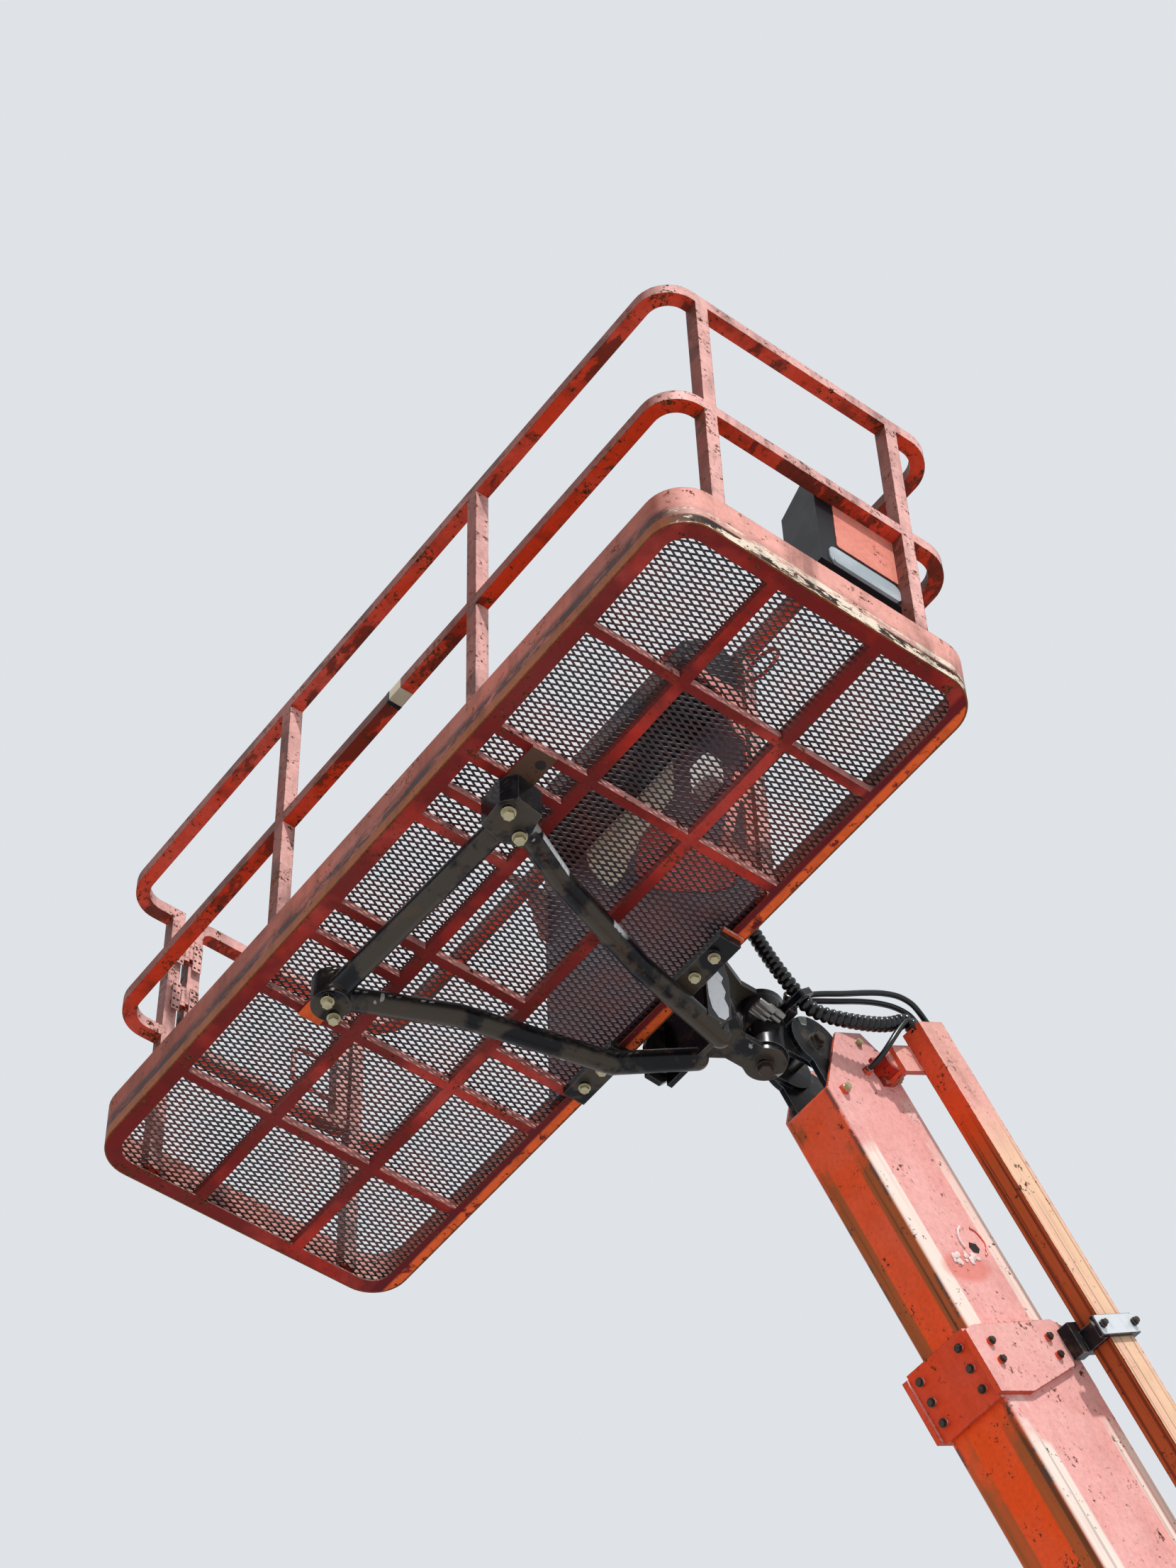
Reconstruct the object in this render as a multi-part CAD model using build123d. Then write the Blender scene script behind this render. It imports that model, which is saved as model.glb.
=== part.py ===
from build123d import *
from collections import namedtuple
import math
import os

# Telescopic boom lift, in millimetres.
# +X runs from the turntable to the platform, +Y to the left and +Z up. Shapes are drawn about the
# slewing axis on the ground; the last step moves them by ORIGIN_X, so that the origin is on the
# ground under the middle of the machine's length. The boom stands at BOOM_ANGLE, and the platform
# hangs level at its tip.

# Driving dimensions of the carrier
WHEELBASE = 2500
TRACK = 2040
TYRE_RADIUS = 480
TYRE_WIDTH = 370
RIM_RADIUS = 300
LUG_DEPTH = 26
LUG_COUNT = 15
KINGPIN_SPACING = 1590
FRAME_WIDTH = 820
FRAME_TOP = 900
FRAME_BOTTOM = 420
AXLE_SEAT_Z = 590
EYE_RADIUS = 24
SLEW_RADIUS = 430

# Driving dimensions of the turntable
DECK_Z = 1000
DECK_THICKNESS = 30
PIVOT_X = -750
PIVOT_Z = 1750
TOWER_GAP = 300
TOWER_THICKNESS = 30
PIN_RADIUS = 45
HOOD_INNER_Y = 350
HOOD_OUTER_Y = 1120
HOOD_TOP_Z = 1640
HOOD_FRONT_X = 980
HOOD_REAR_X = -1180
HOOD_WALL = 6
TAIL_RADIUS = 1820

# Driving dimensions of the boom, measured along it from its pivot
BOOM_ANGLE = 58
WALL = 8
PAD_CLEARANCE = 0.3
Section = namedtuple("Section", "width height rear tip middle")
BASE = Section(290, 460, -250, 5950, 290)
MID = Section(204, 396, 750, 7180, 290)
FLY = Section(170, 324, 1750, 7924, 300)
COLLAR_LENGTH = 185
COLLAR_THICKNESS = 16
NOSE_LENGTH = 159
NOSE_DROP = 70
# the port of the levelling cylinder's hose on the fly's side: along the boom and above its pivot line
LEVEL_PORT = (7975, 335)
PORT_LENGTH = 16
EAR_OUTER_Y = 68
EAR_THICKNESS = 16
LEVEL_PIN_RADIUS = 22
CARRIER_WIDTH = 63
CARRIER_HEIGHT = 100
CARRIER_Y = 184
CARRIER_N = 519
CARRIER_REAR = 2300
CARRIER_TIP = 8040
LIFT_FOOT = (410, -640)
LIFT_EYE_S = 1900
LIFT_EYE_N = -90
LIFT_BARREL_RADIUS = 80
LIFT_ROD_RADIUS = 50
LIFT_BARREL_LENGTH = 1400
LIFT_ROD_INSIDE = 440
LIFT_LUG_Y = 115
LIFT_LUG_THICKNESS = 22

# Driving dimensions of the platform, whose frame starts at the middle of its floor's underside
PLATFORM_LENGTH = 2440
PLATFORM_WIDTH = 909
RAIL_TOP = 1057
MID_RAIL_TOP = 564
TUBE = 38
TOE_HEIGHT = 142
TOE_THICKNESS = 4
CORNER_RADIUS = 105
FLOOR_DEPTH = 25
MESH_THICKNESS = 4
NOSE_TO_PLATFORM = 895.17
NOSE_HEIGHT = 153.55
ROTATOR_REACH = 774
ROTATOR_RADIUS = 62
ROTATOR_LOW = 66
ROTATOR_HIGH = 250
SUPPORT_Z = -60
SUPPORT_RADIUS = 30
HOSE_RADIUS = 21
THIN_HOSE_RADIUS = 8
HOSE_CLAMP = (-797, 128, 199)
ROTATOR_PORTS = ((-803, 68), (-791, 88))
ROTATOR_PORT_TOP = 226
CONSOLE_GLAND = (-446, 115, 863)
GATE_HINGE_X = 256
GATE_WIDTH = 534
GATE_BOTTOM = 526
GATE_CORNER = 70
GATE_HINGE_HEIGHTS = (662, 848)
HINGE_LENGTH = 76
HINGE_LUG = 14
HINGE_RADIUS = 9
HINGE_PIN_RADIUS = 5
CONSOLE_LOW = 860
CONSOLE_REACH = -240
RUNNING_GAP = 0.3
KINGPIN_RADIUS = 25

# Where the boom's frame and the platform's frame stand in the machine
BOOM_FRAME = Location((PIVOT_X, 0, PIVOT_Z), (0, -BOOM_ANGLE, 0))


def on_boom(s, n):
    """The machine's X and Z of a point s along the boom and n above its pivot line."""
    turn = math.radians(BOOM_ANGLE)
    x = PIVOT_X + s * math.cos(turn) - n * math.sin(turn)
    z = PIVOT_Z + s * math.sin(turn) + n * math.cos(turn)
    return x, z


NOSE_S = FLY.tip + NOSE_LENGTH
NOSE_N = FLY.middle - NOSE_DROP
NOSE_X, NOSE_Z = on_boom(NOSE_S, NOSE_N)
PLATFORM_X = NOSE_X + NOSE_TO_PLATFORM
PLATFORM_Z = NOSE_Z - NOSE_HEIGHT
PLATFORM_FRAME = Location((PLATFORM_X, 0, PLATFORM_Z))
ROTATOR_X = -ROTATOR_REACH
ORIGIN_X = (PLATFORM_X + PLATFORM_WIDTH / 2 - TAIL_RADIUS) / 2


def block(low, high):
    """A box between two corners."""
    size = [h - l for l, h in zip(low, high)]
    middle = [(h + l) / 2 for l, h in zip(low, high)]
    return Pos(*middle) * Box(*size)


def plate_xz(points, y, thickness):
    """A plate with a straight-sided outline in X and Z, from y - thickness / 2 to y + thickness / 2."""
    return extrude(Plane.XZ.offset(-y) * make_face(Polyline(*points, close=True)), thickness / 2, both=True)


def bar_y(x, z, radius, low_y, high_y):
    """A round bar along Y."""
    return Pos(x, (low_y + high_y) / 2, z) * Rot(90, 0, 0) * Cylinder(radius, high_y - low_y)


def bar_x(y, z, radius, low_x, high_x):
    """A round bar along X."""
    return Pos((low_x + high_x) / 2, y, z) * Rot(0, 90, 0) * Cylinder(radius, high_x - low_x)


def bar_z(x, y, radius, low_z, high_z):
    """A round bar along Z."""
    return Pos(x, y, (low_z + high_z) / 2) * Cylinder(radius, high_z - low_z)


def pipe(points, radius, bend):
    """A round tube along straight runs joined by arcs of one radius, or of a list of radii."""
    path = FilletPolyline(*points, radius=bend)
    return sweep(Plane(origin=path @ 0, z_dir=path % 0) * Circle(radius), path=path)


def hose(points, radius):
    """A hose along the points, each bend as wide as its two runs allow."""
    places = [Vector(*point) for point in points]
    bends = []
    for before, here, after in zip(places, places[1:], places[2:]):
        arriving = here - before
        leaving = after - here
        half_turn = math.radians(arriving.get_angle(leaving)) / 2
        bends.append(0.45 * min(arriving.length, leaving.length) / math.tan(half_turn))
    return pipe(points, radius, bends)


def limb(points, radius):
    """Straight round tubes from point to point, welded at ball-shaped elbows."""
    shape = Pos(*points[0]) * Sphere(radius)
    for start, end in zip(points, points[1:]):
        run = Vector(*end) - Vector(*start)
        shape = shape + Plane(origin=start, z_dir=run) * extrude(Circle(radius), run.length)
        shape = shape + Pos(*end) * Sphere(radius)
    return shape


def plate_xy(points, low_z, high_z):
    """A plate with a straight-sided outline in X and Y."""
    return Pos(0, 0, low_z) * extrude(make_face(Polyline(*points, close=True)), high_z - low_z)


def angle_along_y(x, low_y, high_y):
    """An angle section under the mesh along Y: its flat leg below, its upright leg on the +X side."""
    flat = block((x - 15, low_y, 0), (x + 15, high_y, 4))
    return flat + block((x + 11, low_y, 0), (x + 15, high_y, FLOOR_DEPTH))


def angle_along_x(y, low_x, high_x):
    """An angle section under the mesh along X: its flat leg below, its upright leg on the +Y side."""
    flat = block((low_x, y - 12.5, 0), (high_x, y + 12.5, 4))
    return flat + block((low_x, y + 8.5, 0), (high_x, y + 12.5, FLOOR_DEPTH))


def box_tube(width, height, low_x, high_x, middle_z, wall, corner=14):
    """A rectangular tube along X."""
    outside = RectangleRounded(width, height, corner)
    inside = RectangleRounded(width - 2 * wall, height - 2 * wall, max(corner - wall, 2))
    return Pos(low_x, 0, middle_z) * extrude(Plane.YZ * (outside - inside), high_x - low_x)


# Wheels


def tyre():
    """One tyre about the Y axis, with chevron lugs out to TYRE_RADIUS."""
    half = TYRE_WIDTH / 2
    body = TYRE_RADIUS - LUG_DEPTH
    section = Polyline(
        (RIM_RADIUS, -half + 45), (RIM_RADIUS + 60, -half + 8), (body - 70, -half), (body, -half + 30),
        (body, half - 30), (body - 70, half), (RIM_RADIUS + 60, half - 8), (RIM_RADIUS, half - 45),
        close=True,
    )
    shape = revolve(Plane.XY * make_face(section), Axis.Y)
    lugs = []
    for side in (-1, 1):
        for i in range(LUG_COUNT):
            turn = 360 / LUG_COUNT * (i + (0.5 if side > 0 else 0))
            length = half * 0.92
            bar = Box(2 * LUG_DEPTH + 16, length, 40)
            bar = Pos(TYRE_RADIUS - LUG_DEPTH - 8, side * half * 0.49, 0) * Rot(side * 32, 0, 0) * bar
            lugs.append(Rot(0, turn, 0) * bar)
    shape = shape + lugs
    return shape & Rot(90, 0, 0) * Cylinder(TYRE_RADIUS, TYRE_WIDTH)


def rim(side):
    """One rim with its dished disc towards side (+1 or -1) and a hub bored for the spindle."""
    half = TYRE_WIDTH / 2 - 45
    section = Polyline(
        (RIM_RADIUS, -half), (RIM_RADIUS, half), (RIM_RADIUS - 12, half), (RIM_RADIUS - 12, -half),
        close=True,
    )
    shape = revolve(Plane.XY * make_face(section), Axis.Y)
    disc = Polyline(
        (RIM_RADIUS - 12, side * 20), (RIM_RADIUS - 12, side * 34), (190, side * 84), (130, side * 84),
        (120, side * 112), (60, side * 124), (0, side * 124), (0, side * 70), (184, side * 70), close=True,
    )
    shape = shape + revolve(Plane.XY * make_face(disc), Axis.Y)
    shape = shape + Pos(0, side * 10, 0) * Rot(90, 0, 0) * Cylinder(105, 140)
    shape = shape - Pos(0, side * (-5), 0) * Rot(90, 0, 0) * Cylinder(60.3, 130)
    for i in range(8):
        hole = Rot(0, 45 * i, 0) * Pos(232, side * 60, 0) * Rot(90, 0, 0) * Cylinder(24, 90)
        nut = Rot(0, 45 * i + 22.5, 0) * Pos(160, side * 90, 0) * Rot(90, 0, 0) * Cylinder(13, 24)
        shape = shape - hole + nut
    return shape


# Chassis


def chassis_frame():
    """The welded box frame with a lashing eye at each corner."""
    half = FRAME_WIDTH / 2
    length = WHEELBASE / 2 + 250
    outline = [
        (-length, FRAME_BOTTOM + 140), (-length, FRAME_TOP - 140), (-700, FRAME_TOP), (700, FRAME_TOP),
        (length, FRAME_TOP - 140), (length, FRAME_BOTTOM + 140), (900, FRAME_BOTTOM), (-900, FRAME_BOTTOM),
    ]
    shape = plate_xz(outline, 0, FRAME_WIDTH)
    for end in (-1, 1):
        middle = end * WHEELBASE / 2
        seat = block((middle - 105, -half - 1, 350), (middle + 105, half + 1, AXLE_SEAT_Z))
        if end < 0:
            seat = seat + Pos(middle, 0, TYRE_RADIUS) * Sphere(172)
        shape = shape - seat
        face = end * length
        for y in (-half + 90, half - 90):
            low, high = sorted((face - end, face + end * 80))
            eye = block((low, y - 60, 620), (high, y + 60, 650))
            shape = shape + eye - bar_z(face + end * 40, y, EYE_RADIUS, 600, 700)
    return shape


def slew_ring():
    return Pos(0, 0, FRAME_TOP + 30) * (Cylinder(SLEW_RADIUS, 60) - Cylinder(SLEW_RADIUS - 110, 60))


def front_axle():
    """The steering axle: a box beam with a fork for each kingpin and its steering cylinder behind."""
    x = WHEELBASE / 2
    root = KINGPIN_SPACING / 2 - 90
    tip = KINGPIN_SPACING / 2 + 55
    half = FRAME_WIDTH / 2
    shape = block((x - 80, -root, TYRE_RADIUS - 75), (x + 80, root, TYRE_RADIUS + 75))
    shape = shape + block((x - 100, 40 - half, TYRE_RADIUS + 70), (x + 100, half - 40, AXLE_SEAT_Z))
    shape = shape + bar_y(x - 135, TYRE_RADIUS - 80, 36, -root / 2, root / 2)
    shape = shape + bar_y(x - 135, TYRE_RADIUS - 80, 17, -root + 130, root - 130)
    for side in (-1, 1):
        low, high = sorted((side * root / 3, side * (root / 3 + 40)))
        shape = shape + block((x - 140, low, TYRE_RADIUS - 100), (x - 70, high, TYRE_RADIUS - 50))
        low, high = sorted((side * (root - 30), side * root))
        shape = shape + block((x - 55, low, TYRE_RADIUS - 130), (x + 55, high, TYRE_RADIUS + 130))
        low, high = sorted((side * root, side * tip))
        for z in (TYRE_RADIUS - 130, TYRE_RADIUS + 100):
            shape = shape + block((x - 55, low, z), (x + 55, high, z + 30))
        bore = bar_z(x, side * KINGPIN_SPACING / 2, KINGPIN_RADIUS + RUNNING_GAP, 0, 2 * TYRE_RADIUS)
        shape = shape - bore
    return shape


def knuckle(side):
    """A steering knuckle between the forks of the axle, with the spindle for its wheel."""
    x = WHEELBASE / 2
    y = side * KINGPIN_SPACING / 2
    shape = bar_z(x, y, 50, TYRE_RADIUS - 99.5, TYRE_RADIUS + 99.5)
    shape = shape + bar_z(x, y, KINGPIN_RADIUS, TYRE_RADIUS - 130, TYRE_RADIUS + 130)
    low, high = sorted((y, side * (TRACK / 2 - 68)))
    shape = shape + bar_y(x, TYRE_RADIUS, 85, low, high)
    low, high = sorted((side * (TRACK / 2 - 70), side * (TRACK / 2 + 55)))
    shape = shape + bar_y(x, TYRE_RADIUS, 60, low, high)
    arm = block((x - 190, y - 20, TYRE_RADIUS - 60), (x, y + 20, TYRE_RADIUS - 30))
    return shape + arm


def rear_axle():
    x = -WHEELBASE / 2
    end = TRACK / 2 - 70
    shape = bar_y(x, TYRE_RADIUS, 85, -end, end)
    shape = shape + Pos(x, 0, TYRE_RADIUS) * Sphere(165)
    for side in (-1, 1):
        low, high = sorted((side * (end - 190), side * end))
        shape = shape + bar_y(x, TYRE_RADIUS, 150, low, high)
        low, high = sorted((side * end, side * (TRACK / 2 + 55)))
        shape = shape + bar_y(x, TYRE_RADIUS, 60, low, high)
    seat_y = FRAME_WIDTH / 2 - 40
    return shape + block((x - 100, -seat_y, TYRE_RADIUS + 60), (x + 100, seat_y, AXLE_SEAT_Z))


# Turntable


def turntable_deck():
    low = FRAME_TOP + 60 + RUNNING_GAP
    high = DECK_Z + DECK_THICKNESS
    shape = bar_z(0, 0, SLEW_RADIUS - 20, low, DECK_Z)
    shape = shape + block((HOOD_REAR_X - 10, -HOOD_OUTER_Y, DECK_Z), (HOOD_FRONT_X, HOOD_OUTER_Y, high))
    for side in (-1, 1):
        y = side * (HOOD_INNER_Y - 24)
        for x in (HOOD_REAR_X + 260, HOOD_FRONT_X - 260):
            post = block((x - 30, y - 10, DECK_Z + 10), (x + 30, y + 10, HOOD_TOP_Z - 14))
            shape = shape + post + bar_x(y, HOOD_TOP_Z - 14, 14, x - 30, x + 30)
    for side in (-1, 1):
        y = side * (HOOD_INNER_Y - 24)
        shape = shape - bar_x(y, HOOD_TOP_Z - 14, 8 + RUNNING_GAP, HOOD_REAR_X, HOOD_FRONT_X)
    return shape


def boom_tower():
    """The two upright plates that carry the boom's pivot and the foot of the lift cylinder."""
    top = DECK_Z + DECK_THICKNESS
    foot_x = PIVOT_X + LIFT_FOOT[0]
    foot_z = PIVOT_Z + LIFT_FOOT[1]
    outline = [
        (PIVOT_X - 330, top), (PIVOT_X - 120, PIVOT_Z + 40), (PIVOT_X - 60, PIVOT_Z + 110),
        (PIVOT_X + 70, PIVOT_Z + 110), (PIVOT_X + 130, PIVOT_Z + 30), (foot_x + 160, foot_z + 130),
        (foot_x + 260, top),
    ]
    shape = Part()
    for side in (-1, 1):
        y = side * (TOWER_GAP / 2 + TOWER_THICKNESS / 2)
        shape = shape + plate_xz(outline, y, TOWER_THICKNESS)
    shape = shape - bar_y(PIVOT_X, PIVOT_Z, PIN_RADIUS, -TOWER_GAP, TOWER_GAP)
    shape = shape - bar_y(foot_x, foot_z, 40, -TOWER_GAP, TOWER_GAP)
    shape = shape + block(
        (PIVOT_X - 200, -TOWER_GAP / 2, top), (PIVOT_X - 170, TOWER_GAP / 2, PIVOT_Z - 330)
    )
    return shape


def boom_pin():
    half = TOWER_GAP / 2 + TOWER_THICKNESS + 20
    return bar_y(PIVOT_X, PIVOT_Z, PIN_RADIUS, -half, half)


def counterweight():
    """The cast tail weight, round at the back, cut away in the middle for the boom's heel."""
    low = DECK_Z
    high = DECK_Z + 540
    far = 2 * TAIL_RADIUS
    section = Polyline(
        (0, low), (TAIL_RADIUS - 60, low), (TAIL_RADIUS, low + 70), (TAIL_RADIUS, high - 110),
        (TAIL_RADIUS - 130, high), (0, high), close=True,
    )
    outer = revolve(Plane.XZ * make_face(section), Axis.Z)
    cut = block((HOOD_REAR_X - 10, -far, 0), (far, far, far))
    sides = block((-far, -HOOD_OUTER_Y, 0), (far, HOOD_OUTER_Y, far))
    slot = block((-far, -200, DECK_Z + 420), (far, 200, far))
    return (outer & sides) - cut - slot


def engine_block():
    return block((-850, -980, DECK_Z + DECK_THICKNESS), (250, -450, 1560))


def hydraulic_tank():
    return block((-250, 450, DECK_Z + DECK_THICKNESS), (450, 1000, 1500))


def fuel_tank():
    return block((-950, 450, DECK_Z + DECK_THICKNESS), (-350, 1000, 1480))


def ground_controls():
    """The cabinet behind the window of the left hood, with its sloping panel."""
    low = DECK_Z + DECK_THICKNESS
    return plate_xz([(560, low), (560, 1500), (700, 1500), (780, 1400), (780, low)], 775, 600)


def hood(side):
    """A cover over one side of the turntable, open underneath and towards the boom."""
    shell = rounded_cover(side, 0, DECK_Z + DECK_THICKNESS + 6)
    shell = shell - rounded_cover(side, HOOD_WALL, 0)
    wall = side * HOOD_OUTER_Y
    if side > 0:
        shell = shell - block((600, wall - 60, 1230), (760, wall + 60, 1420))
    else:
        for row in range(7):
            z = 1180 + 45 * row
            shell = shell - block((-780, wall - 60, z), (-200, wall + 60, z + 16))
    for row in range(6):
        z = 1200 + 45 * row
        shell = shell - block((-100, wall - 60, z), (160, wall + 60, z + 16))
    y = side * (HOOD_INNER_Y - 24)
    low, high = sorted((y, side * (HOOD_INNER_Y + 4)))
    for x in (HOOD_REAR_X + 260, HOOD_FRONT_X - 260):
        for end in (-1, 1):
            strap_x = x + end * 41
            shell = shell + block((strap_x - 8, low, HOOD_TOP_Z - 22), (strap_x + 8, high, HOOD_TOP_Z - 6))
        shell = shell + bar_x(y, HOOD_TOP_Z - 14, 8, x - 45, x + 45)
    return shell


def rounded_cover(side, inset, low_z):
    """The hood's outside (inset 0) or its hollow (inset HOOD_WALL), round along its outer edges."""
    near = side * (HOOD_INNER_Y - 2 * inset)
    far = side * (HOOD_OUTER_Y - inset)
    low, high = sorted((near, far))
    shape = block((HOOD_REAR_X + inset, low, low_z), (HOOD_FRONT_X - inset, high, HOOD_TOP_Z - inset))
    outer = shape.edges().filter_by(lambda edge: abs(edge.center().Y - far) < 1)
    upright = outer.filter_by(Axis.Z)
    top = outer.filter_by(Axis.X).sort_by(Axis.Z)[-1:]
    return fillet(upright + top, 120 - inset)


# Boom


def boom_section(size):
    return box_tube(size.width, size.height, size.rear, size.tip, size.middle, WALL)


def base_boom():
    """The outer section with the lugs of its pivot and of the lift cylinder."""
    shape = boom_section(BASE)
    bottom = BASE.middle - BASE.height / 2
    for side in (-1, 1):
        y = side * (BASE.width / 2 - 17)
        heel = [
            (BASE.rear, bottom + 2), (BASE.rear + 40, -60), (-70, -95), (80, -95), (420, bottom + 2),
        ]
        shape = shape + plate_xz(heel, y, 25)
        s = LIFT_EYE_S
        n = LIFT_EYE_N
        lug = [(s - 260, bottom + 2), (s - 90, n - 80), (s + 90, n - 80), (s + 260, bottom + 2)]
        shape = shape + plate_xz(lug, side * LIFT_LUG_Y, LIFT_LUG_THICKNESS)
    shape = shape - bar_y(LIFT_EYE_S, LIFT_EYE_N, 28, -BASE.width, BASE.width)
    shape = shape - bar_y(0, 0, PIN_RADIUS + RUNNING_GAP, -BASE.width, BASE.width)
    return BOOM_FRAME * shape


def collar(outer, low_n, high_n):
    """The bolted plates around an outer section's mouth: two sides with cut corners, bottom and top."""
    rear = outer.tip - COLLAR_LENGTH
    front = outer.tip + 10
    half = outer.width / 2
    bottom = outer.middle - outer.height / 2
    top = outer.middle + outer.height / 2
    side_plate = [
        (rear + 8, low_n), (front - 12, low_n), (front, low_n + 40), (front, high_n - 40),
        (front - 24, high_n), (front - 64, high_n), (front - 136, high_n - 52), (rear, low_n + 130),
    ]
    shape = Part()
    for side in (-1, 1):
        shape = shape + plate_xz(side_plate, side * (half + COLLAR_THICKNESS / 2), COLLAR_THICKNESS)
    shape = shape + block((rear, -half, bottom - COLLAR_THICKNESS), (front, half, bottom))
    shape = shape + block((rear, -half + 14, top), (front, half - 14, top + COLLAR_THICKNESS))
    mouth = RectangleRounded(outer.width, outer.height, 14)
    hollow = Rectangle(outer.width - 2 * WALL - 0.4, outer.height - 2 * WALL - 0.4)
    shape = shape + Pos(outer.tip, 0, outer.middle) * extrude(Plane.YZ * (mouth - hollow), 10)
    return shape


def base_collar():
    return BOOM_FRAME * collar(BASE, 120, 440)


def mid_collar():
    """The collar at the middle section's mouth, with the bolt heads of its plates."""
    shape = collar(MID, 66, 466)
    half = MID.width / 2
    bottom = MID.middle - MID.height / 2
    for s in (MID.tip - 95, MID.tip - 42):
        for n in (132, 373):
            for side in (-1, 1):
                low, high = sorted((side * (half + 10), side * (half + COLLAR_THICKNESS + 7)))
                shape = shape + bar_y(s, n, 11, low, high)
    for s in (MID.tip - 142, MID.tip - 84, MID.tip - 26):
        for y in (-72, 72):
            shape = shape + bar_z(s, y, 11, bottom - COLLAR_THICKNESS - 8, bottom - 5)
    return BOOM_FRAME * shape


def carrier_clamp():
    """The loop on the middle section's collar that the hose carrier's tube slides through."""
    inner = CARRIER_Y - CARRIER_WIDTH / 2 - 2
    outer = CARRIER_Y + CARRIER_WIDTH / 2 + 2
    low = CARRIER_N - CARRIER_HEIGHT / 2 - 2
    high = CARRIER_N + CARRIER_HEIGHT / 2 + 2
    rear = MID.tip - 112
    front = MID.tip - 54
    root = MID.width / 2 + COLLAR_THICKNESS
    shape = block((rear, root, low - 40), (front + 30, inner + 4, low))
    shape = shape + block((rear, inner - 12, low - 40), (front, inner, high + 14))
    shape = shape + block((rear, inner - 12, low - 14), (front, outer + 12, low))
    shape = shape + block((rear, inner - 12, high), (front, outer + 12, high + 14))
    shape = shape + block((rear, outer, low - 46), (front, outer + 12, high + 14))
    for n in (low - 28, high + 5):
        shape = shape + bar_y((rear + front) / 2, n, 11, outer + 6, outer + 20)
    return BOOM_FRAME * shape


def pad_ring(outer, inner, length):
    """Wear pads between two sections: a rectangular ring with its own gap all round."""
    outside = Pos(0, outer.middle) * RectangleRounded(
        outer.width - 2 * WALL - 0.4, outer.height - 2 * WALL - 0.4, 8
    )
    inside = Pos(0, inner.middle) * Rectangle(
        inner.width + 2 * PAD_CLEARANCE, inner.height + 2 * PAD_CLEARANCE
    )
    return BOOM_FRAME * Pos(outer.tip - length, 0, 0) * extrude(Plane.YZ * (outside - inside), length)


def mid_boom():
    return BOOM_FRAME * boom_section(MID)


def fly_boom():
    """The inner section, whose side plates run on past its bottom around the nose."""
    bottom = FLY.middle - FLY.height / 2
    top = FLY.middle + FLY.height / 2
    end = FLY.tip
    shape = box_tube(FLY.width, FLY.height, FLY.rear, end + 200, FLY.middle, WALL)
    beyond = [
        (end, 0), (end, bottom), (end + 177, bottom + 166), (end + 175, top - 56), (end + 123, top - 27),
        (end + 86, top), (end + 86, top + 60), (end + 300, top + 60), (end + 300, 0),
    ]
    shape = shape - plate_xz(beyond, 0, 2 * FLY.width)
    for side in (-1, 1):
        low, high = sorted((side * (FLY.width / 2 - 4), side * (FLY.width / 2 + 10)))
        shape = shape + bar_y(end - 8, bottom + 60, 14, low, high)
    port_s, port_n = LEVEL_PORT
    side_y = FLY.width / 2
    shape = shape + bar_y(port_s, port_n, THIN_HOSE_RADIUS + 4, side_y - 2, side_y + PORT_LENGTH)
    return BOOM_FRAME * shape


def fly_nose():
    """Two black ears inside the fly's end that carry the platform's levelling pin."""
    end = FLY.tip
    bottom = FLY.middle - FLY.height / 2
    top = FLY.middle + FLY.height / 2
    inner_wall = FLY.width / 2 - WALL
    outline = [
        (end - 74, bottom + 32), (NOSE_S - 10, NOSE_N - 56), (NOSE_S + 60, NOSE_N), (NOSE_S, NOSE_N + 79),
        (end + 66, top - 30), (end - 74, top - 22),
    ]
    shape = Part()
    for side in (-1, 1):
        y = side * (EAR_OUTER_Y - EAR_THICKNESS / 2)
        low, high = sorted((side * (EAR_OUTER_Y - EAR_THICKNESS), side * EAR_OUTER_Y))
        shape = shape + plate_xz(outline, y, EAR_THICKNESS) + bar_y(NOSE_S, NOSE_N, 80, low, high)
    for s in (end - 74, end - 10):
        shape = shape + block((s, -inner_wall, bottom + 40), (s + 14, inner_wall, top - 30))
    return BOOM_FRAME * (shape - bar_y(NOSE_S, NOSE_N, LEVEL_PIN_RADIUS + RUNNING_GAP, -200, 200))


def hose_carrier():
    """The square tube beside the boom that rides with the fly section, and the lug that holds it."""
    outside = Rectangle(CARRIER_WIDTH, CARRIER_HEIGHT)
    inside = Rectangle(CARRIER_WIDTH - 8, CARRIER_HEIGHT - 8)
    length = CARRIER_TIP - CARRIER_REAR
    tube = Pos(CARRIER_REAR, CARRIER_Y, CARRIER_N) * extrude(Plane.YZ * (outside - inside), length)
    near = CARRIER_Y - CARRIER_WIDTH / 2
    shelf = block((FLY.tip + 2, FLY.width / 2, 392), (FLY.tip + 84, near + 2, 410))
    post = block((FLY.tip + 2, near - 14, 392), (FLY.tip + 84, near + 2, CARRIER_N + 20))
    return BOOM_FRAME * (tube + shelf + post)


def lift_geometry():
    """Foot pin, eye pin and slope of the lift cylinder at rest."""
    foot = (PIVOT_X + LIFT_FOOT[0], PIVOT_Z + LIFT_FOOT[1])
    eye = on_boom(LIFT_EYE_S, LIFT_EYE_N)
    length = math.hypot(eye[0] - foot[0], eye[1] - foot[1])
    slope = math.degrees(math.atan2(eye[1] - foot[1], eye[0] - foot[0]))
    return foot, length, slope


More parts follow.
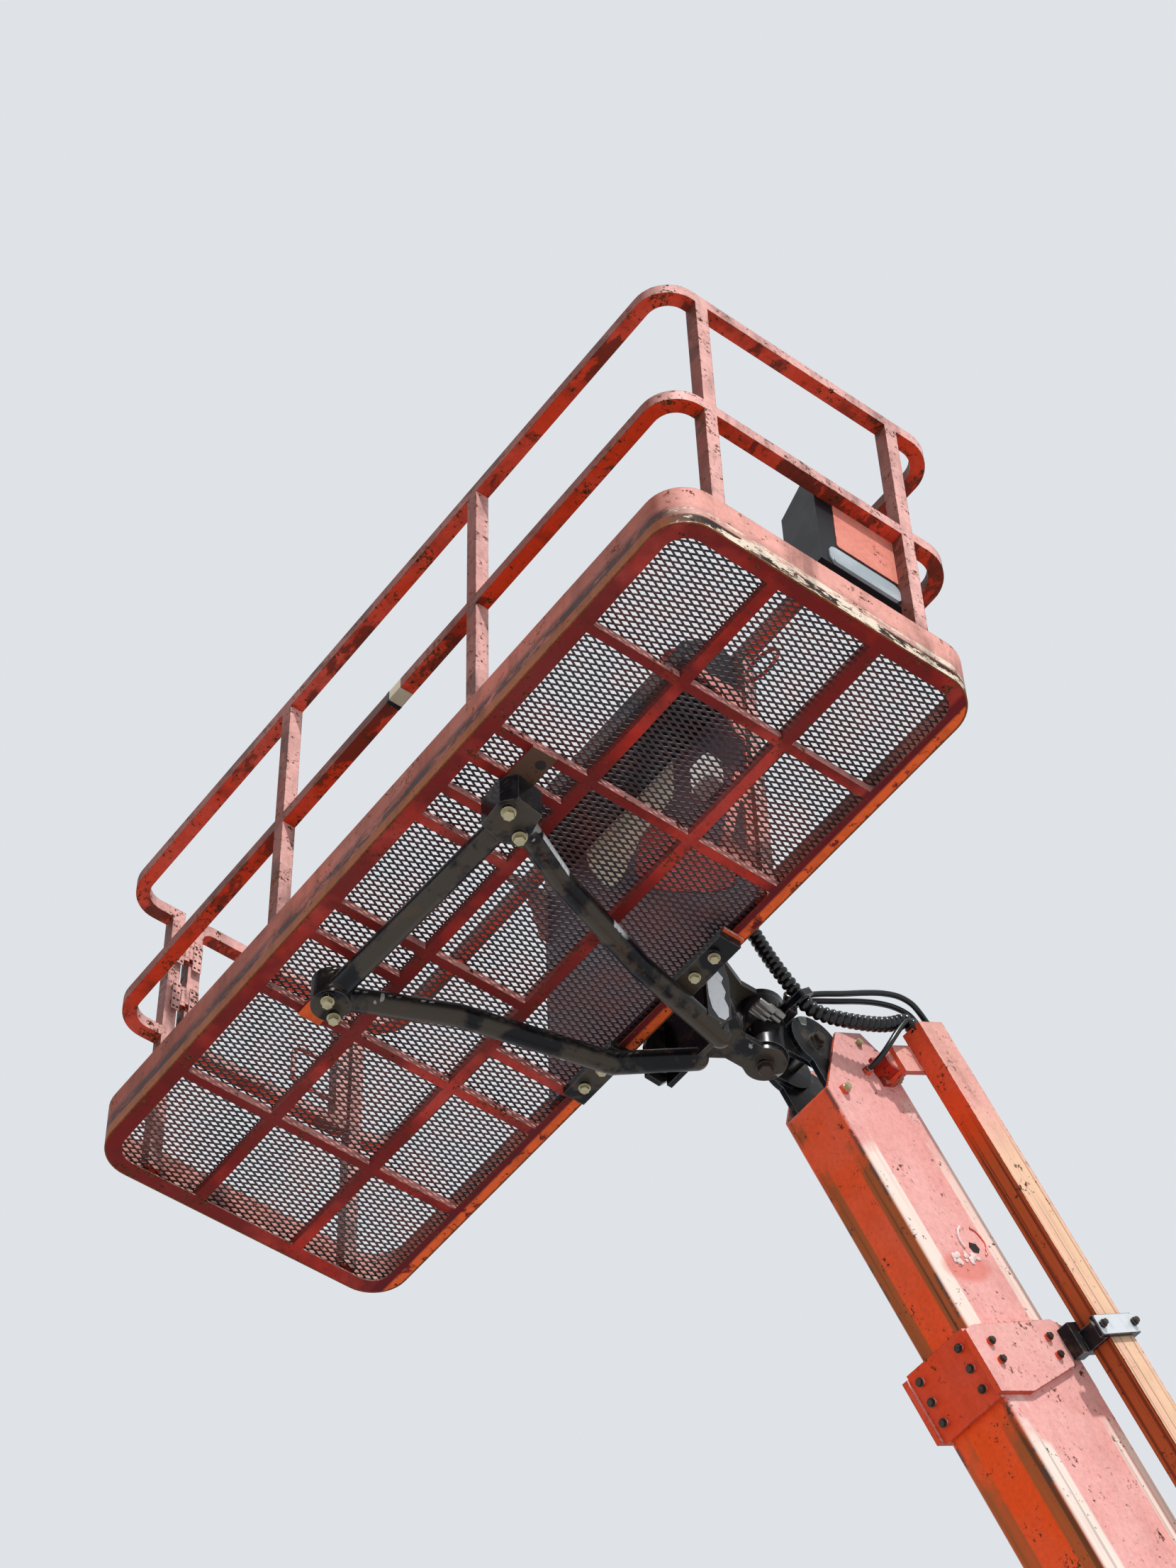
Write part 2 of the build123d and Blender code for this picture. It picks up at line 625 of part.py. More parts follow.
def lift_barrel():
    foot, length, slope = lift_geometry()
    shape = bar_x(0, 0, LIFT_BARREL_RADIUS, 60, LIFT_BARREL_LENGTH)
    shape = shape + bar_x(0, 0, LIFT_BARREL_RADIUS + 12, LIFT_BARREL_LENGTH - 90, LIFT_BARREL_LENGTH)
    shape = shape + bar_y(0, 0, 68, -60, 60)
    shape = shape - bar_x(0, 0, LIFT_ROD_RADIUS + 0.5, 150, LIFT_BARREL_LENGTH + 10)
    shape = shape - bar_y(0, 0, 40.3, -70, 70)
    return Location((foot[0], 0, foot[1]), (0, -slope, 0)) * shape


def lift_foot_pin():
    foot, length, slope = lift_geometry()
    half = TOWER_GAP / 2 + TOWER_THICKNESS + 15
    return bar_y(foot[0], foot[1], 40, -half, half)


def lift_rod():
    foot, length, slope = lift_geometry()
    shape = bar_x(0, 0, LIFT_ROD_RADIUS, LIFT_BARREL_LENGTH - LIFT_ROD_INSIDE, length - 40)
    half = LIFT_LUG_Y - LIFT_LUG_THICKNESS / 2 - 6
    shape = shape + bar_y(length, 0, 56, -half, half)
    shape = shape - bar_y(length, 0, 28, -half - 1, half + 1)
    return Location((foot[0], 0, foot[1]), (0, -slope, 0)) * shape


# Platform


def ring(height, low_z, inset, thickness, radius):
    """A band round the platform's plan."""
    length = PLATFORM_LENGTH - 2 * inset
    width = PLATFORM_WIDTH - 2 * inset
    outside = RectangleRounded(width, length, radius)
    inside = RectangleRounded(width - 2 * thickness, length - 2 * thickness, max(radius - thickness, 2))
    return Pos(0, 0, low_z) * extrude(outside - inside, height)


def level_bracket():
    """The black head that stays level: two cheeks on the nose's pin and the rotator's housing."""
    pin_x = -NOSE_TO_PLATFORM
    outline = [
        (pin_x, NOSE_HEIGHT - 70), (ROTATOR_X, ROTATOR_LOW + 14), (ROTATOR_X, ROTATOR_HIGH - 8),
        (pin_x + 20, NOSE_HEIGHT + 67),
    ]
    shape = Part()
    for side in (-1, 1):
        low, high = sorted((side * 36, side * 50))
        shape = shape + plate_xz(outline, side * 43, 14) + bar_y(pin_x, NOSE_HEIGHT, 70, low, high)
    shape = shape + bar_z(ROTATOR_X, 0, ROTATOR_RADIUS, ROTATOR_LOW + RUNNING_GAP, ROTATOR_HIGH - RUNNING_GAP)
    shape = shape + block((pin_x + 60, -40, NOSE_HEIGHT - 50), (ROTATOR_X, 40, NOSE_HEIGHT + 50))
    shape = shape + block((-810, 49, 172), (-782, 100, 212)) + hose_clamp()
    for x, y in ROTATOR_PORTS:
        shape = shape + bar_z(x, y, THIN_HOSE_RADIUS + 3, 211, ROTATOR_PORT_TOP)
    return PLATFORM_FRAME * (shape - bar_y(pin_x, NOSE_HEIGHT, LEVEL_PIN_RADIUS, -200, 200))


def at_clamp(along):
    """A point on the big hose's line through its clamp, which rises by 45 degrees towards +X."""
    x, y, z = HOSE_CLAMP
    return x + along * math.sqrt(0.5), y, z + along * math.sqrt(0.5)


def hose_clamp():
    """The plate on the head that holds the big hose."""
    plane = Plane(origin=HOSE_CLAMP, x_dir=(0, 1, 0), z_dir=(1, 0, 1))
    outline = Pos(-3, 0) * RectangleRounded(62, 54, 8) - Circle(HOSE_RADIUS + RUNNING_GAP)
    return extrude(plane * outline, 10, both=True)


def level_pin():
    half = EAR_OUTER_Y + 8
    return PLATFORM_FRAME * bar_y(-NOSE_TO_PLATFORM, NOSE_HEIGHT, LEVEL_PIN_RADIUS, -half, half)


def support_frame():
    """The black tube frame under the floor, with its yoke round the rotator."""
    z = SUPPORT_Z
    apex = -560
    shape = limb([(265, 350, z), (290, -370, z)], SUPPORT_RADIUS)
    shape = shape + limb([(265, 350, z), (57, 250, z), (-255, 147, z), (apex, 80, z)], SUPPORT_RADIUS)
    shape = shape + limb([(290, -370, z), (0, -240, z), (-400, -145, z), (apex, -12, z)], SUPPORT_RADIUS)
    # the two outboard corners: an angular block on the left, a round boss on the right
    corner = [(205, 300), (225, 405), (300, 415), (330, 380), (325, 300), (260, 285)]
    shape = shape + plate_xy(corner, z - 42, -10.2) + bar_z(290, -370, 50, z - 38, -10.2)
    for x, y, radius in ((235, 330, 16), (300, 375, 16), (270, -385, 14), (312, -350, 14)):
        shape = shape + bar_z(x, y, radius, z - 56, z)
    # plates from the arms to the clamps under the boom-side edge: low Y, high Y
    for low, high in ((95, 318), (-318, -120)):
        shape = shape + block((-440, low, -34), (-375, high, -10.2))
    for x, y in ((-400, 185), (-400, 262), (-400, -190), (-400, -262)):
        shape = shape + bar_z(x, y, 13, -46, -20)
    # the yoke
    shape = shape + block((apex, -115, -75), (apex + 15, 115, ROTATOR_HIGH + 18))
    side_plate = [
        (-486, -72), (-531, -75), (apex, -40), (apex, 110), (-545, 170), (-520, 175), (-500, 120), (-484, 40),
    ]
    for side in (-1, 1):
        shape = shape + plate_xz(side_plate, side * 122, 14)
    lower = [(apex + 5, 115), (-580, 110), (-630, 75), (-680, 42), (ROTATOR_X, 42)]
    upper = [(apex + 5, 100), (-590, 80), (-680, 42), (ROTATOR_X, 42)]
    for half_outline, low, radius in ((lower, ROTATOR_LOW - 18, 56), (upper, ROTATOR_HIGH, ROTATOR_RADIUS)):
        outline = half_outline + [(x, -y) for x, y in reversed(half_outline)]
        shape = shape + plate_xy(outline, low, low + 18) + bar_z(ROTATOR_X, 0, radius, low, low + 18)
    shape = shape + bar_z(ROTATOR_X, 0, 20, ROTATOR_LOW - 30, ROTATOR_LOW - 10)
    shape = shape + bar_z(ROTATOR_X, 0, 28, ROTATOR_HIGH + 10, ROTATOR_HIGH + 32)
    return PLATFORM_FRAME * shape


def floor_frame():
    """Perimeter angle, angle members under the mesh and the lugs that hold the tube frame."""
    inset = TOE_THICKNESS + 0.2
    radius = CORNER_RADIUS - inset
    shape = ring(FLOOR_DEPTH, 0, inset, 5, radius) + ring(5, 0, inset, 40, radius)
    edge_x = PLATFORM_WIDTH / 2 - inset - 2
    edge_y = PLATFORM_LENGTH / 2 - inset - 2
    for x in (145, -155):
        shape = shape + angle_along_y(x, -edge_y, edge_y)
    # each member along X: its Y, low X and high X
    members = [
        (840, -edge_x, edge_x), (485, -edge_x, edge_x), (-493, -edge_x, edge_x), (-840, -edge_x, edge_x),
        (383, 146, edge_x), (270, 146, edge_x), (165, 146, edge_x), (-280, 146, edge_x),
        (-170, -150, edge_x), (-335, -edge_x, -150),
    ]
    for y, low, high in members:
        shape = shape + angle_along_x(y, low, high)
    # each lug: low and high corner, and its hole
    lugs = [
        ((250, 340), (320, 500), (273, 466)), ((235, -505), (300, -340), (252, -441)),
        ((-446, 238), (-383, 325), (-401, 295)), ((-449, -335), (-400, -226), (-424, -277)),
    ]
    for (low_x, low_y), (high_x, high_y), (hole_x, hole_y) in lugs:
        plate = block((low_x, low_y, -10), (high_x, high_y, 2))
        shape = shape + plate - bar_z(hole_x, hole_y, 9, -20, 3)
    return PLATFORM_FRAME * shape


def floor_mesh():
    inset = TOE_THICKNESS + 0.5
    sheet = RectangleRounded(PLATFORM_WIDTH - 2 * inset, PLATFORM_LENGTH - 2 * inset, CORNER_RADIUS - inset)
    shape = Pos(0, 0, FLOOR_DEPTH) * extrude(sheet, MESH_THICKNESS)
    half = TUBE / 2 + 2
    for x, y in post_places():
        shape = shape - block((x - half, y - half, 0), (x + half, y + half, 90))
    x, low_y, high_y = panel_place()
    return PLATFORM_FRAME * (shape - block((x - 0.5, low_y - 0.5, 0), (x + 5.5, high_y + 0.5, 90)))


def toe_board():
    return PLATFORM_FRAME * ring(TOE_HEIGHT, 0, 0, TOE_THICKNESS, CORNER_RADIUS)


def post_places():
    """Middles of the upright tubes, on the platform's plan."""
    side_x = PLATFORM_WIDTH / 2 - TOE_THICKNESS - TUBE / 2 - 0.5
    end_y = PLATFORM_LENGTH / 2 - TOE_THICKNESS - TUBE / 2 - 0.5
    # x, y
    return [
        (side_x, 431), (side_x, -407), (-side_x, 430), (-side_x, -405),
        (322, end_y), (-281, end_y), (287, -end_y), (-320, -end_y),
    ]


def guard_rails():
    """The rails and posts round the platform, open at the gate, with the gate's hinge lugs."""
    inset = TOE_THICKNESS + 0.5
    radius = CORNER_RADIUS - inset
    shape = ring(TUBE, RAIL_TOP - TUBE, inset, TUBE, radius)
    shape = shape + ring(TUBE, MID_RAIL_TOP - TUBE, inset, TUBE, radius)
    half = TUBE / 2
    for x, y in post_places():
        shape = shape + block((x - half, y - half, FLOOR_DEPTH + 0.2), (x + half, y + half, RAIL_TOP))
    opening = block(
        (gate_left() - 11, -PLATFORM_LENGTH, FLOOR_DEPTH + 60),
        (GATE_HINGE_X + 12, -PLATFORM_LENGTH / 2 + 60, RAIL_TOP + 10),
    )
    shape = shape - opening
    face = gate_middle_y() + half
    for low in GATE_HINGE_HEIGHTS:
        for z in (low, low + HINGE_LENGTH - HINGE_LUG):
            high = z + HINGE_LUG
            shape = shape + bar_z(GATE_HINGE_X, face + 6, HINGE_RADIUS, z, high)
            shape = shape + block((GATE_HINGE_X, face - 1, z), (GATE_HINGE_X + 34, face + 13, high))
    shape = shape - bar_z(GATE_HINGE_X, face + 6, HINGE_PIN_RADIUS + RUNNING_GAP, 100, RAIL_TOP)
    return PLATFORM_FRAME * shape


def gate_middle_y():
    """The middle of the end rails' tubes, where the gate stands too."""
    return -PLATFORM_LENGTH / 2 + TOE_THICKNESS + 0.5 + TUBE / 2


def gate_left():
    return GATE_HINGE_X - 12 - GATE_WIDTH


def gate():
    """The swing gate: a frame with round upper corners, its hinge knuckles and its latch loop."""
    y = gate_middle_y()
    height = RAIL_TOP - GATE_BOTTOM
    outside = Rectangle(GATE_WIDTH, height)
    outside = fillet(outside.vertices().group_by(Axis.Y)[-1], GATE_CORNER)
    inside = Rectangle(GATE_WIDTH - 2 * TUBE, height - 2 * TUBE)
    inside = fillet(inside.vertices().group_by(Axis.Y)[-1], GATE_CORNER - TUBE)
    frame = extrude(Plane.XZ * (outside - inside), TUBE / 2, both=True)
    shape = Pos(gate_left() + GATE_WIDTH / 2, y, (RAIL_TOP + GATE_BOTTOM) / 2) * frame
    face = y + TUBE / 2
    for low in GATE_HINGE_HEIGHTS:
        start = low + HINGE_LUG + 1
        end = low + HINGE_LENGTH - HINGE_LUG - 1
        shape = shape + block((GATE_HINGE_X - 44, face - 1, start), (GATE_HINGE_X, face + 13, end))
        shape = shape + bar_z(GATE_HINGE_X, face + 6, HINGE_RADIUS, start, end)
        shape = shape + bar_z(GATE_HINGE_X, face + 6, HINGE_PIN_RADIUS, low, low + HINGE_LENGTH)
    left = gate_left() + TUBE / 2
    loop = [(left, y, 640), (left + 150, y, 640), (left + 150, y, 780), (left, y, 780)]
    return PLATFORM_FRAME * (shape + pipe(loop, 7, 30))


def console_bracket():
    """Two arms on the boom-side posts, a lower gusset and the slanting plate that guards the hoses."""
    inner = -PLATFORM_WIDTH / 2 + TOE_THICKNESS + 0.5 + TUBE
    arm = [
        (inner, 660), (inner, CONSOLE_LOW), (CONSOLE_REACH, CONSOLE_LOW), (CONSOLE_REACH, CONSOLE_LOW - 22),
        (inner + 70, CONSOLE_LOW - 60), (inner + 30, 660),
    ]
    shape = plate_xz(arm, 430, 8) + plate_xz(arm, -405, 8)
    gusset = [(inner, 130), (inner, 500), (inner + 45, 500), (inner + 110, 170), (inner + 110, 130)]
    window = [(inner + 25, 180), (inner + 25, 380), (inner + 38, 380), (inner + 78, 180)]
    shape = shape + plate_xz(gusset, 430, 8) - plate_xz(window, 430, 20)
    guard = [(-25, 800), (135, 670), (313, 314), (322, 84), (8, 563)]
    shape = shape + Pos(inner, 0, 0) * extrude(Plane.YZ * make_face(Polyline(*guard, close=True)), 5)
    rail = block((inner, -409, 655), (inner + 5, 434, 700))
    return PLATFORM_FRAME * (shape + rail + block((inner, 426, 130), (inner + 5, 434, 700)))


def panel_place():
    """Low X, low Y and high Y of the sheet behind the console."""
    return -PLATFORM_WIDTH / 2 + TOE_THICKNESS + 0.5 + TUBE + 5, -401, 426


def console_panel():
    """The dark sheet behind the console, from a slot in the floor's mesh to the console's underside."""
    x, low_y, high_y = panel_place()
    return PLATFORM_FRAME * block((x, low_y, FLOOR_DEPTH), (x + 5, high_y, CONSOLE_LOW - 0.2))


def control_console():
    """The console's housing on its two arms, with a sloping face and the gland of the big hose."""
    inner = -PLATFORM_WIDTH / 2 + TOE_THICKNESS + 0.5 + TUBE
    low = CONSOLE_LOW
    outline = [
        (inner, low), (CONSOLE_REACH - 40, low), (CONSOLE_REACH, low + 40), (CONSOLE_REACH, low + 118),
        (inner + 95, low + 180), (inner, low + 180),
    ]
    shape = plate_xz(outline, 45, 750)
    ends = shape.faces().filter_by(Axis.Y).edges()
    gland = Plane(origin=CONSOLE_GLAND, x_dir=(0, 1, 0), z_dir=(0.6, 0, 0.8)) * Circle(HOSE_RADIUS + 6)
    return PLATFORM_FRAME * (fillet(ends, 12) + extrude(gland, 80))


def manual_box():
    """The case for papers that hangs inside the end rails, with a sloping lid."""
    back = PLATFORM_LENGTH / 2 - TOE_THICKNESS - 0.5 - TUBE
    outline = [
        (back, 262), (back, 630), (back - 30, 630), (back - 120, 560), (back - 120, 290), (back - 95, 262),
    ]
    shape = Pos(-320, 0, 0) * extrude(Plane.YZ * make_face(Polyline(*outline, close=True)), 300)
    return PLATFORM_FRAME * shape


# Hoses, along the route they hang in


def carrier_hoses():
    """The hoses out of the carrier's open end: the big one to its clamp, three thin ones to their ports."""
    # each thin hose: Y and N in the carrier, how far it stands out, then its points in the platform's frame
    (first_x, first_y), (second_x, second_y) = ROTATOR_PORTS
    top = ROTATOR_PORT_TOP + RUNNING_GAP
    port_x, port_z = on_boom(*LEVEL_PORT)
    port = (port_x - PLATFORM_X, FLY.width / 2 + PORT_LENGTH + RUNNING_GAP, port_z - PLATFORM_Z)
    runs = [
        (168, 548, 42, [
            (-1110, 160, 340), (-1053, 147, 334), (-996, 134, 314), (-936, 118, 290), (-885, 100, 277),
            (-842, 82, 278), (first_x, first_y, 262), (first_x, first_y, top),
        ]),
        (190, 551, 56, [
            (-1106, 186, 356), (-1050, 174, 346), (-994, 160, 322), (-934, 143, 295), (-880, 124, 279),
            (-834, 104, 279), (second_x, second_y, 262), (second_x, second_y, top),
        ]),
        (198, 483, 32, [
            (-1082, 186, 222), (-1056, 170, 160), (port[0], 142, port[2]), port,
        ]),
    ]
    big = [(-1064, 172, 232), (-998, 164, 199), (-930, 155, 175), (-868, 142, 164)]
    big = carrier_run(186, 498, 34, big + [at_clamp(-32), at_clamp(-0.2)])
    return [hose(big, HOSE_RADIUS)] + [hose(carrier_run(*run), THIN_HOSE_RADIUS) for run in runs]


def carrier_run(y, n, beyond, points):
    """A hose's route: inside the carrier, out of its mouth by beyond, then the platform's points."""
    places = [on_boom(CARRIER_TIP + s, n) for s in (-110, beyond)]
    route = [(x, y, z) for x, z in places]
    return route + [(PLATFORM_X + x, y, PLATFORM_Z + z) for x, y, z in points]


def platform_hoses():
    """The big hose from its clamp up to the console's gland."""
    x, y, z = CONSOLE_GLAND
    route = [
        at_clamp(0.2), at_clamp(34), (-740, 121, 270), (-707, 112, 332), (-672, 106, 400), (-630, 106, 480),
        (-580, 109, 565), (-535, 112, 650), (-503, 115, 735), (x - 36, y, z - 48), (x - 0.2, y, z - 0.25),
    ]
    return PLATFORM_FRAME * hose(route, HOSE_RADIUS)


# The two sides of the machine, as signs of Y
SIDES = {"left": 1, "right": -1}


def assemble():
    """Every node by its name."""
    nodes = {
        "chassis_frame": chassis_frame(),
        "slew_ring": slew_ring(),
        "front_axle": front_axle(),
        "rear_axle": rear_axle(),
        "turntable_deck": turntable_deck(),
        "boom_tower": boom_tower(),
        "boom_pivot_pin": boom_pin(),
        "lift_foot_pin": lift_foot_pin(),
        "counterweight": counterweight(),
        "engine_block": engine_block(),
        "hydraulic_tank": hydraulic_tank(),
        "fuel_tank": fuel_tank(),
        "ground_controls": ground_controls(),
        "base_boom": base_boom(),
        "base_boom_collar": base_collar(),
        "base_wear_pads": pad_ring(BASE, MID, 150),
        "mid_boom": mid_boom(),
        "mid_boom_collar": mid_collar(),
        "carrier_clamp": carrier_clamp(),
        "mid_wear_pads": pad_ring(MID, FLY, 150),
        "fly_boom": fly_boom(),
        "fly_nose": fly_nose(),
        "hose_carrier": hose_carrier(),
        "lift_cylinder_barrel": lift_barrel(),
        "lift_cylinder_rod": lift_rod(),
        "level_bracket": level_bracket(),
        "level_pin": level_pin(),
        "support_frame": support_frame(),
        "floor_frame": floor_frame(),
        "floor_mesh": floor_mesh(),
        "toe_board": toe_board(),
        "guard_rails": guard_rails(),
        "gate": gate(),
        "console_bracket": console_bracket(),
        "console_panel": console_panel(),
        "control_console": control_console(),
        "manual_box": manual_box(),
        "carrier_hoses": carrier_hoses(),
        "platform_hoses": platform_hoses(),
    }
    for name, side in SIDES.items():
        nodes["steering_knuckle_" + name] = knuckle(side)
        nodes["hood_" + name] = hood(side)
    for end, x in (("front", WHEELBASE / 2), ("rear", -WHEELBASE / 2)):
        for name, side in SIDES.items():
            place = Pos(x, side * TRACK / 2, TYRE_RADIUS)
            nodes[f"tyre_{end}_{name}"] = place * tyre()
            nodes[f"rim_{end}_{name}"] = place * rim(side)
    return nodes


os.makedirs("parts", exist_ok=True)
for node, shape in assemble().items():
    solids = shape if isinstance(shape, list) else [shape]
    placed = [Pos(-ORIGIN_X, 0, 0) * solid for solid in solids]
    export_step(placed[0] if len(placed) == 1 else Compound(children=placed), f"parts/{node}.step")
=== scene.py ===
"""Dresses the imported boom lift: worn paint, expanded metal, hoses, tyres and fasteners."""
import math
import random

import bpy
from mathutils import Matrix, Vector


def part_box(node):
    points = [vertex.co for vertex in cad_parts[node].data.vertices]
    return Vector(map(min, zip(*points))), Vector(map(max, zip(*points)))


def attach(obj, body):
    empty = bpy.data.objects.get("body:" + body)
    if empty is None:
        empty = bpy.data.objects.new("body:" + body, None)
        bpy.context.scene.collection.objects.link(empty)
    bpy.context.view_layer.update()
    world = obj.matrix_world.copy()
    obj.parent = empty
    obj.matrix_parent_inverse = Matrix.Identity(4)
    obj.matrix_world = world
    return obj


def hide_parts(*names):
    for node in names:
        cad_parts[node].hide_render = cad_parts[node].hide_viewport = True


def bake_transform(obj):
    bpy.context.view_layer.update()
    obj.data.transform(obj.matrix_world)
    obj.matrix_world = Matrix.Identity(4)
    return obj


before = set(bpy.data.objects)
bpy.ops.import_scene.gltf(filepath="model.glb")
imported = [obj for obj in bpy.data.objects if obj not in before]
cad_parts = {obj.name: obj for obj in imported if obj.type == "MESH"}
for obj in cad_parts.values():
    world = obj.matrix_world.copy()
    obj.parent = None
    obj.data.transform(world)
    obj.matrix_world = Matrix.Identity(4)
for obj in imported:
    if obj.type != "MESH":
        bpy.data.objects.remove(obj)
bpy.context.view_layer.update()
random.seed(4)

ACROSS = Vector((0, 1, 0))
UP = Vector((0, 0, 1))
DOWN = -UP


def box_corners(node):
    """The low and the high corner of a node's box."""
    return [Vector(corner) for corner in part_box(node)]


def box_middle(node):
    """The middle of a node's box."""
    low, high = box_corners(node)
    return (low + high) / 2


# The middle of the platform floor's underside, half its width and the boom's pivot, in metres
TOE_LOW, TOE_HIGH = box_corners("toe_board")
PLATFORM = Vector(((TOE_LOW.x + TOE_HIGH.x) / 2, 0, TOE_LOW.z))
HALF_WIDTH = (TOE_HIGH.x - TOE_LOW.x) / 2
PIVOT = box_middle("boom_pivot_pin")
PIVOT.y = 0
BOOM_ANGLE = math.radians(58)
ALONG = Vector((math.cos(BOOM_ANGLE), 0, math.sin(BOOM_ANGLE)))
ABOVE = Vector((-math.sin(BOOM_ANGLE), 0, math.cos(BOOM_ANGLE)))

# Each sliding section: its tip, half width, middle and half height, in metres
BOOM_SECTIONS = {"mid": (7.18, 0.102, 0.29, 0.198), "fly": (8.05, 0.085, 0.3, 0.162)}

# Places on the boom, in its millimetres: along it, out to its side and above its pivot line
LIFT_EYE = (1900, 0, -90)
FLY_SIDE = 85
EAR_SIDE = 95
MID_COLLAR_SIDE = 125
MID_COLLAR_BOTTOM = 68
BASE_COLLAR_SIDE = 161
BASE_COLLAR_BOTTOM = 44
CLAMP_SIDE = 229.6
CLAMP_BOSS = 237.5
CARRIER_TIP = 8040

# The mended hole in the fly section's side, its weld and the scorched paint below it, as places on the boom
HOLE_MIDDLE = (7447, 352)
WELD_MIDDLE = (7400, 287)
SCORCH_MIDDLE = (7375, 270)
SCORCH_SIZE = (50, 100)

# Places on the platform, in its millimetres; a face is the X or Y of the plane that a plate lies on
ROTATOR_X = -774
ROTATOR_PORTS = ((-803, 68), (-791, 88))
PORT_TOP = 226
YOKE_SIDE = 129
LUG_BOTTOM = -10.3
GATE_FACE = -1164.5
BOX_FACE = 1177.8
PANEL_FACE = -401.8
CONSOLE_TOP = 1040
MIDDLE_RAIL = (412, 526, 450, 564)
HOSE_CLAMP = (-797, 128, 199)

# The hoses' radii, and the middle of the ground cabinet's switches behind the hood's window, in metres
HOSE_RADIUS = 0.021
THIN_HOSE_RADIUS = 0.008
CABINET = box_corners("ground_controls")[0]
GROUND_PANEL = (CABINET.x + 0.12, 1.0752, CABINET.z + 0.295)


def on_platform(x, y, z):
    """A point in the platform's own millimetres."""
    return PLATFORM + Vector((x, y, z)) / 1000


def on_boom(s, y, n):
    """A point in the boom's own millimetres: along it, across it and above its pivot line."""
    return PIVOT + (ALONG * s + ABOVE * n + Vector((0, y, 0))) / 1000


# Materials


def rgb(text):
    """A colour written as six hexadecimal digits, as linear light."""
    parts = [int(text[i:i + 2], 16) / 255 for i in (0, 2, 4)]
    return tuple(v / 12.92 if v <= 0.04045 else ((v + 0.055) / 1.055) ** 2.4 for v in parts) + (1,)


class Graph:
    """The nodes of one material, added and joined through short calls."""

    def __init__(self, name, on_boom=False):
        self.material = bpy.data.materials.new(name)
        self.material.use_nodes = True
        self.tree = self.material.node_tree
        self.shader = self.tree.nodes["Principled BSDF"]
        self.coordinates = self.tree.nodes.new("ShaderNodeTexCoord")
        self.place = self.coordinates.outputs["Object"]
        self.down = (0, 0, -1)
        if on_boom:
            turn = Matrix.Rotation(BOOM_ANGLE, 3, "Y")
            inputs = {"Vector": self.place, "Rotation": (0, BOOM_ANGLE, 0), "Location": -(turn @ PIVOT)}
            self.place = self.add("ShaderNodeMapping", inputs)
            self.down = tuple(-ABOVE)

    def feed(self, socket, value):
        """Joins a node's output to the socket, or sets it to a number, a place or a written colour."""
        if isinstance(value, bpy.types.NodeSocket):
            self.tree.links.new(value, socket)
        else:
            socket.default_value = rgb(value) if isinstance(value, str) else value

    def add(self, kind, inputs, output=0, **settings):
        """One output of a new node whose inputs are fed with sockets or values."""
        node = self.tree.nodes.new(kind)
        for key, value in settings.items():
            setattr(node, key, value)
        for key, value in inputs.items():
            self.feed(node.inputs[key], value)
        return node.outputs[output]

    def math(self, operation, a, b=0.0):
        return self.add("ShaderNodeMath", {0: a, 1: b}, operation=operation)

    def times(self, *factors):
        product = factors[0]
        for factor in factors[1:]:
            product = self.math("MULTIPLY", product, factor)
        return product

    def step(self, value, low, high, to_low=0.0, to_high=1.0):
        """value between low and high, spread over to_low to to_high."""
        inputs = {"Value": value, "From Min": low, "From Max": high, "To Min": to_low, "To Max": to_high}
        return self.add("ShaderNodeMapRange", inputs, clamp=True)

    def band(self, value, low, high, soft):
        """1 where value lies between low and high, fading to 0 over soft on both sides."""
        rise = self.step(value, low - soft, low)
        return self.times(rise, self.step(value, high, high + soft, 1.0, 0.0))

    def axis(self, index):
        """One coordinate of the place, in metres."""
        return self.add("ShaderNodeSeparateXYZ", {0: self.place}, output=index)

    def beyond_platform(self, index):
        """One coordinate of the place, from the middle of the platform floor's underside."""
        return self.math("SUBTRACT", self.axis(index), PLATFORM[index])

    def noise(self, scale, detail=4.0, rough=0.55, stretch=None):
        vector = self.place
        if stretch:
            vector = self.add("ShaderNodeMapping", {"Vector": vector, "Scale": stretch})
        inputs = {"Vector": vector, "Scale": scale, "Detail": detail, "Roughness": rough}
        return self.add("ShaderNodeTexNoise", inputs)

    def mix(self, factor, a, b):
        inputs = {0: factor, 6: a, 7: b}
        return self.add("ShaderNodeMix", inputs, output=2, data_type="RGBA")

    def dot(self, a, b):
        """How far two directions agree."""
        return self.add("ShaderNodeVectorMath", {0: a, 1: b}, output="Value", operation="DOT_PRODUCT")

    def edge(self, radius, low=0.02, high=0.3):
        """1 on the corners of the shape and 0 on its faces."""
        bevel = self.tree.nodes.new("ShaderNodeBevel")
        bevel.samples = 4
        bevel.inputs["Radius"].default_value = radius
        plain = self.add("ShaderNodeNewGeometry", {}, output="Normal")
        return self.step(self.math("SUBTRACT", 1.0, self.dot(bevel.outputs["Normal"], plain)), low, high)

    def facing(self, axis):
        """How far a face looks along the axis, in the object's own frame."""
        return self.dot(self.coordinates.outputs["Normal"], axis)

    def bump(self, height, strength, distance=0.002):
        inputs = {"Height": height, "Strength": strength, "Distance": distance}
        self.feed(self.shader.inputs["Normal"], self.add("ShaderNodeBump", inputs))

    def finish(self, colour, rough, metal=0.0, gloss=0.5):
        self.shader.inputs["Specular IOR Level"].default_value = gloss
        self.feed(self.shader.inputs["Base Color"], colour)
        self.feed(self.shader.inputs["Roughness"], rough)
        self.feed(self.shader.inputs["Metallic"], metal)
        return self.material


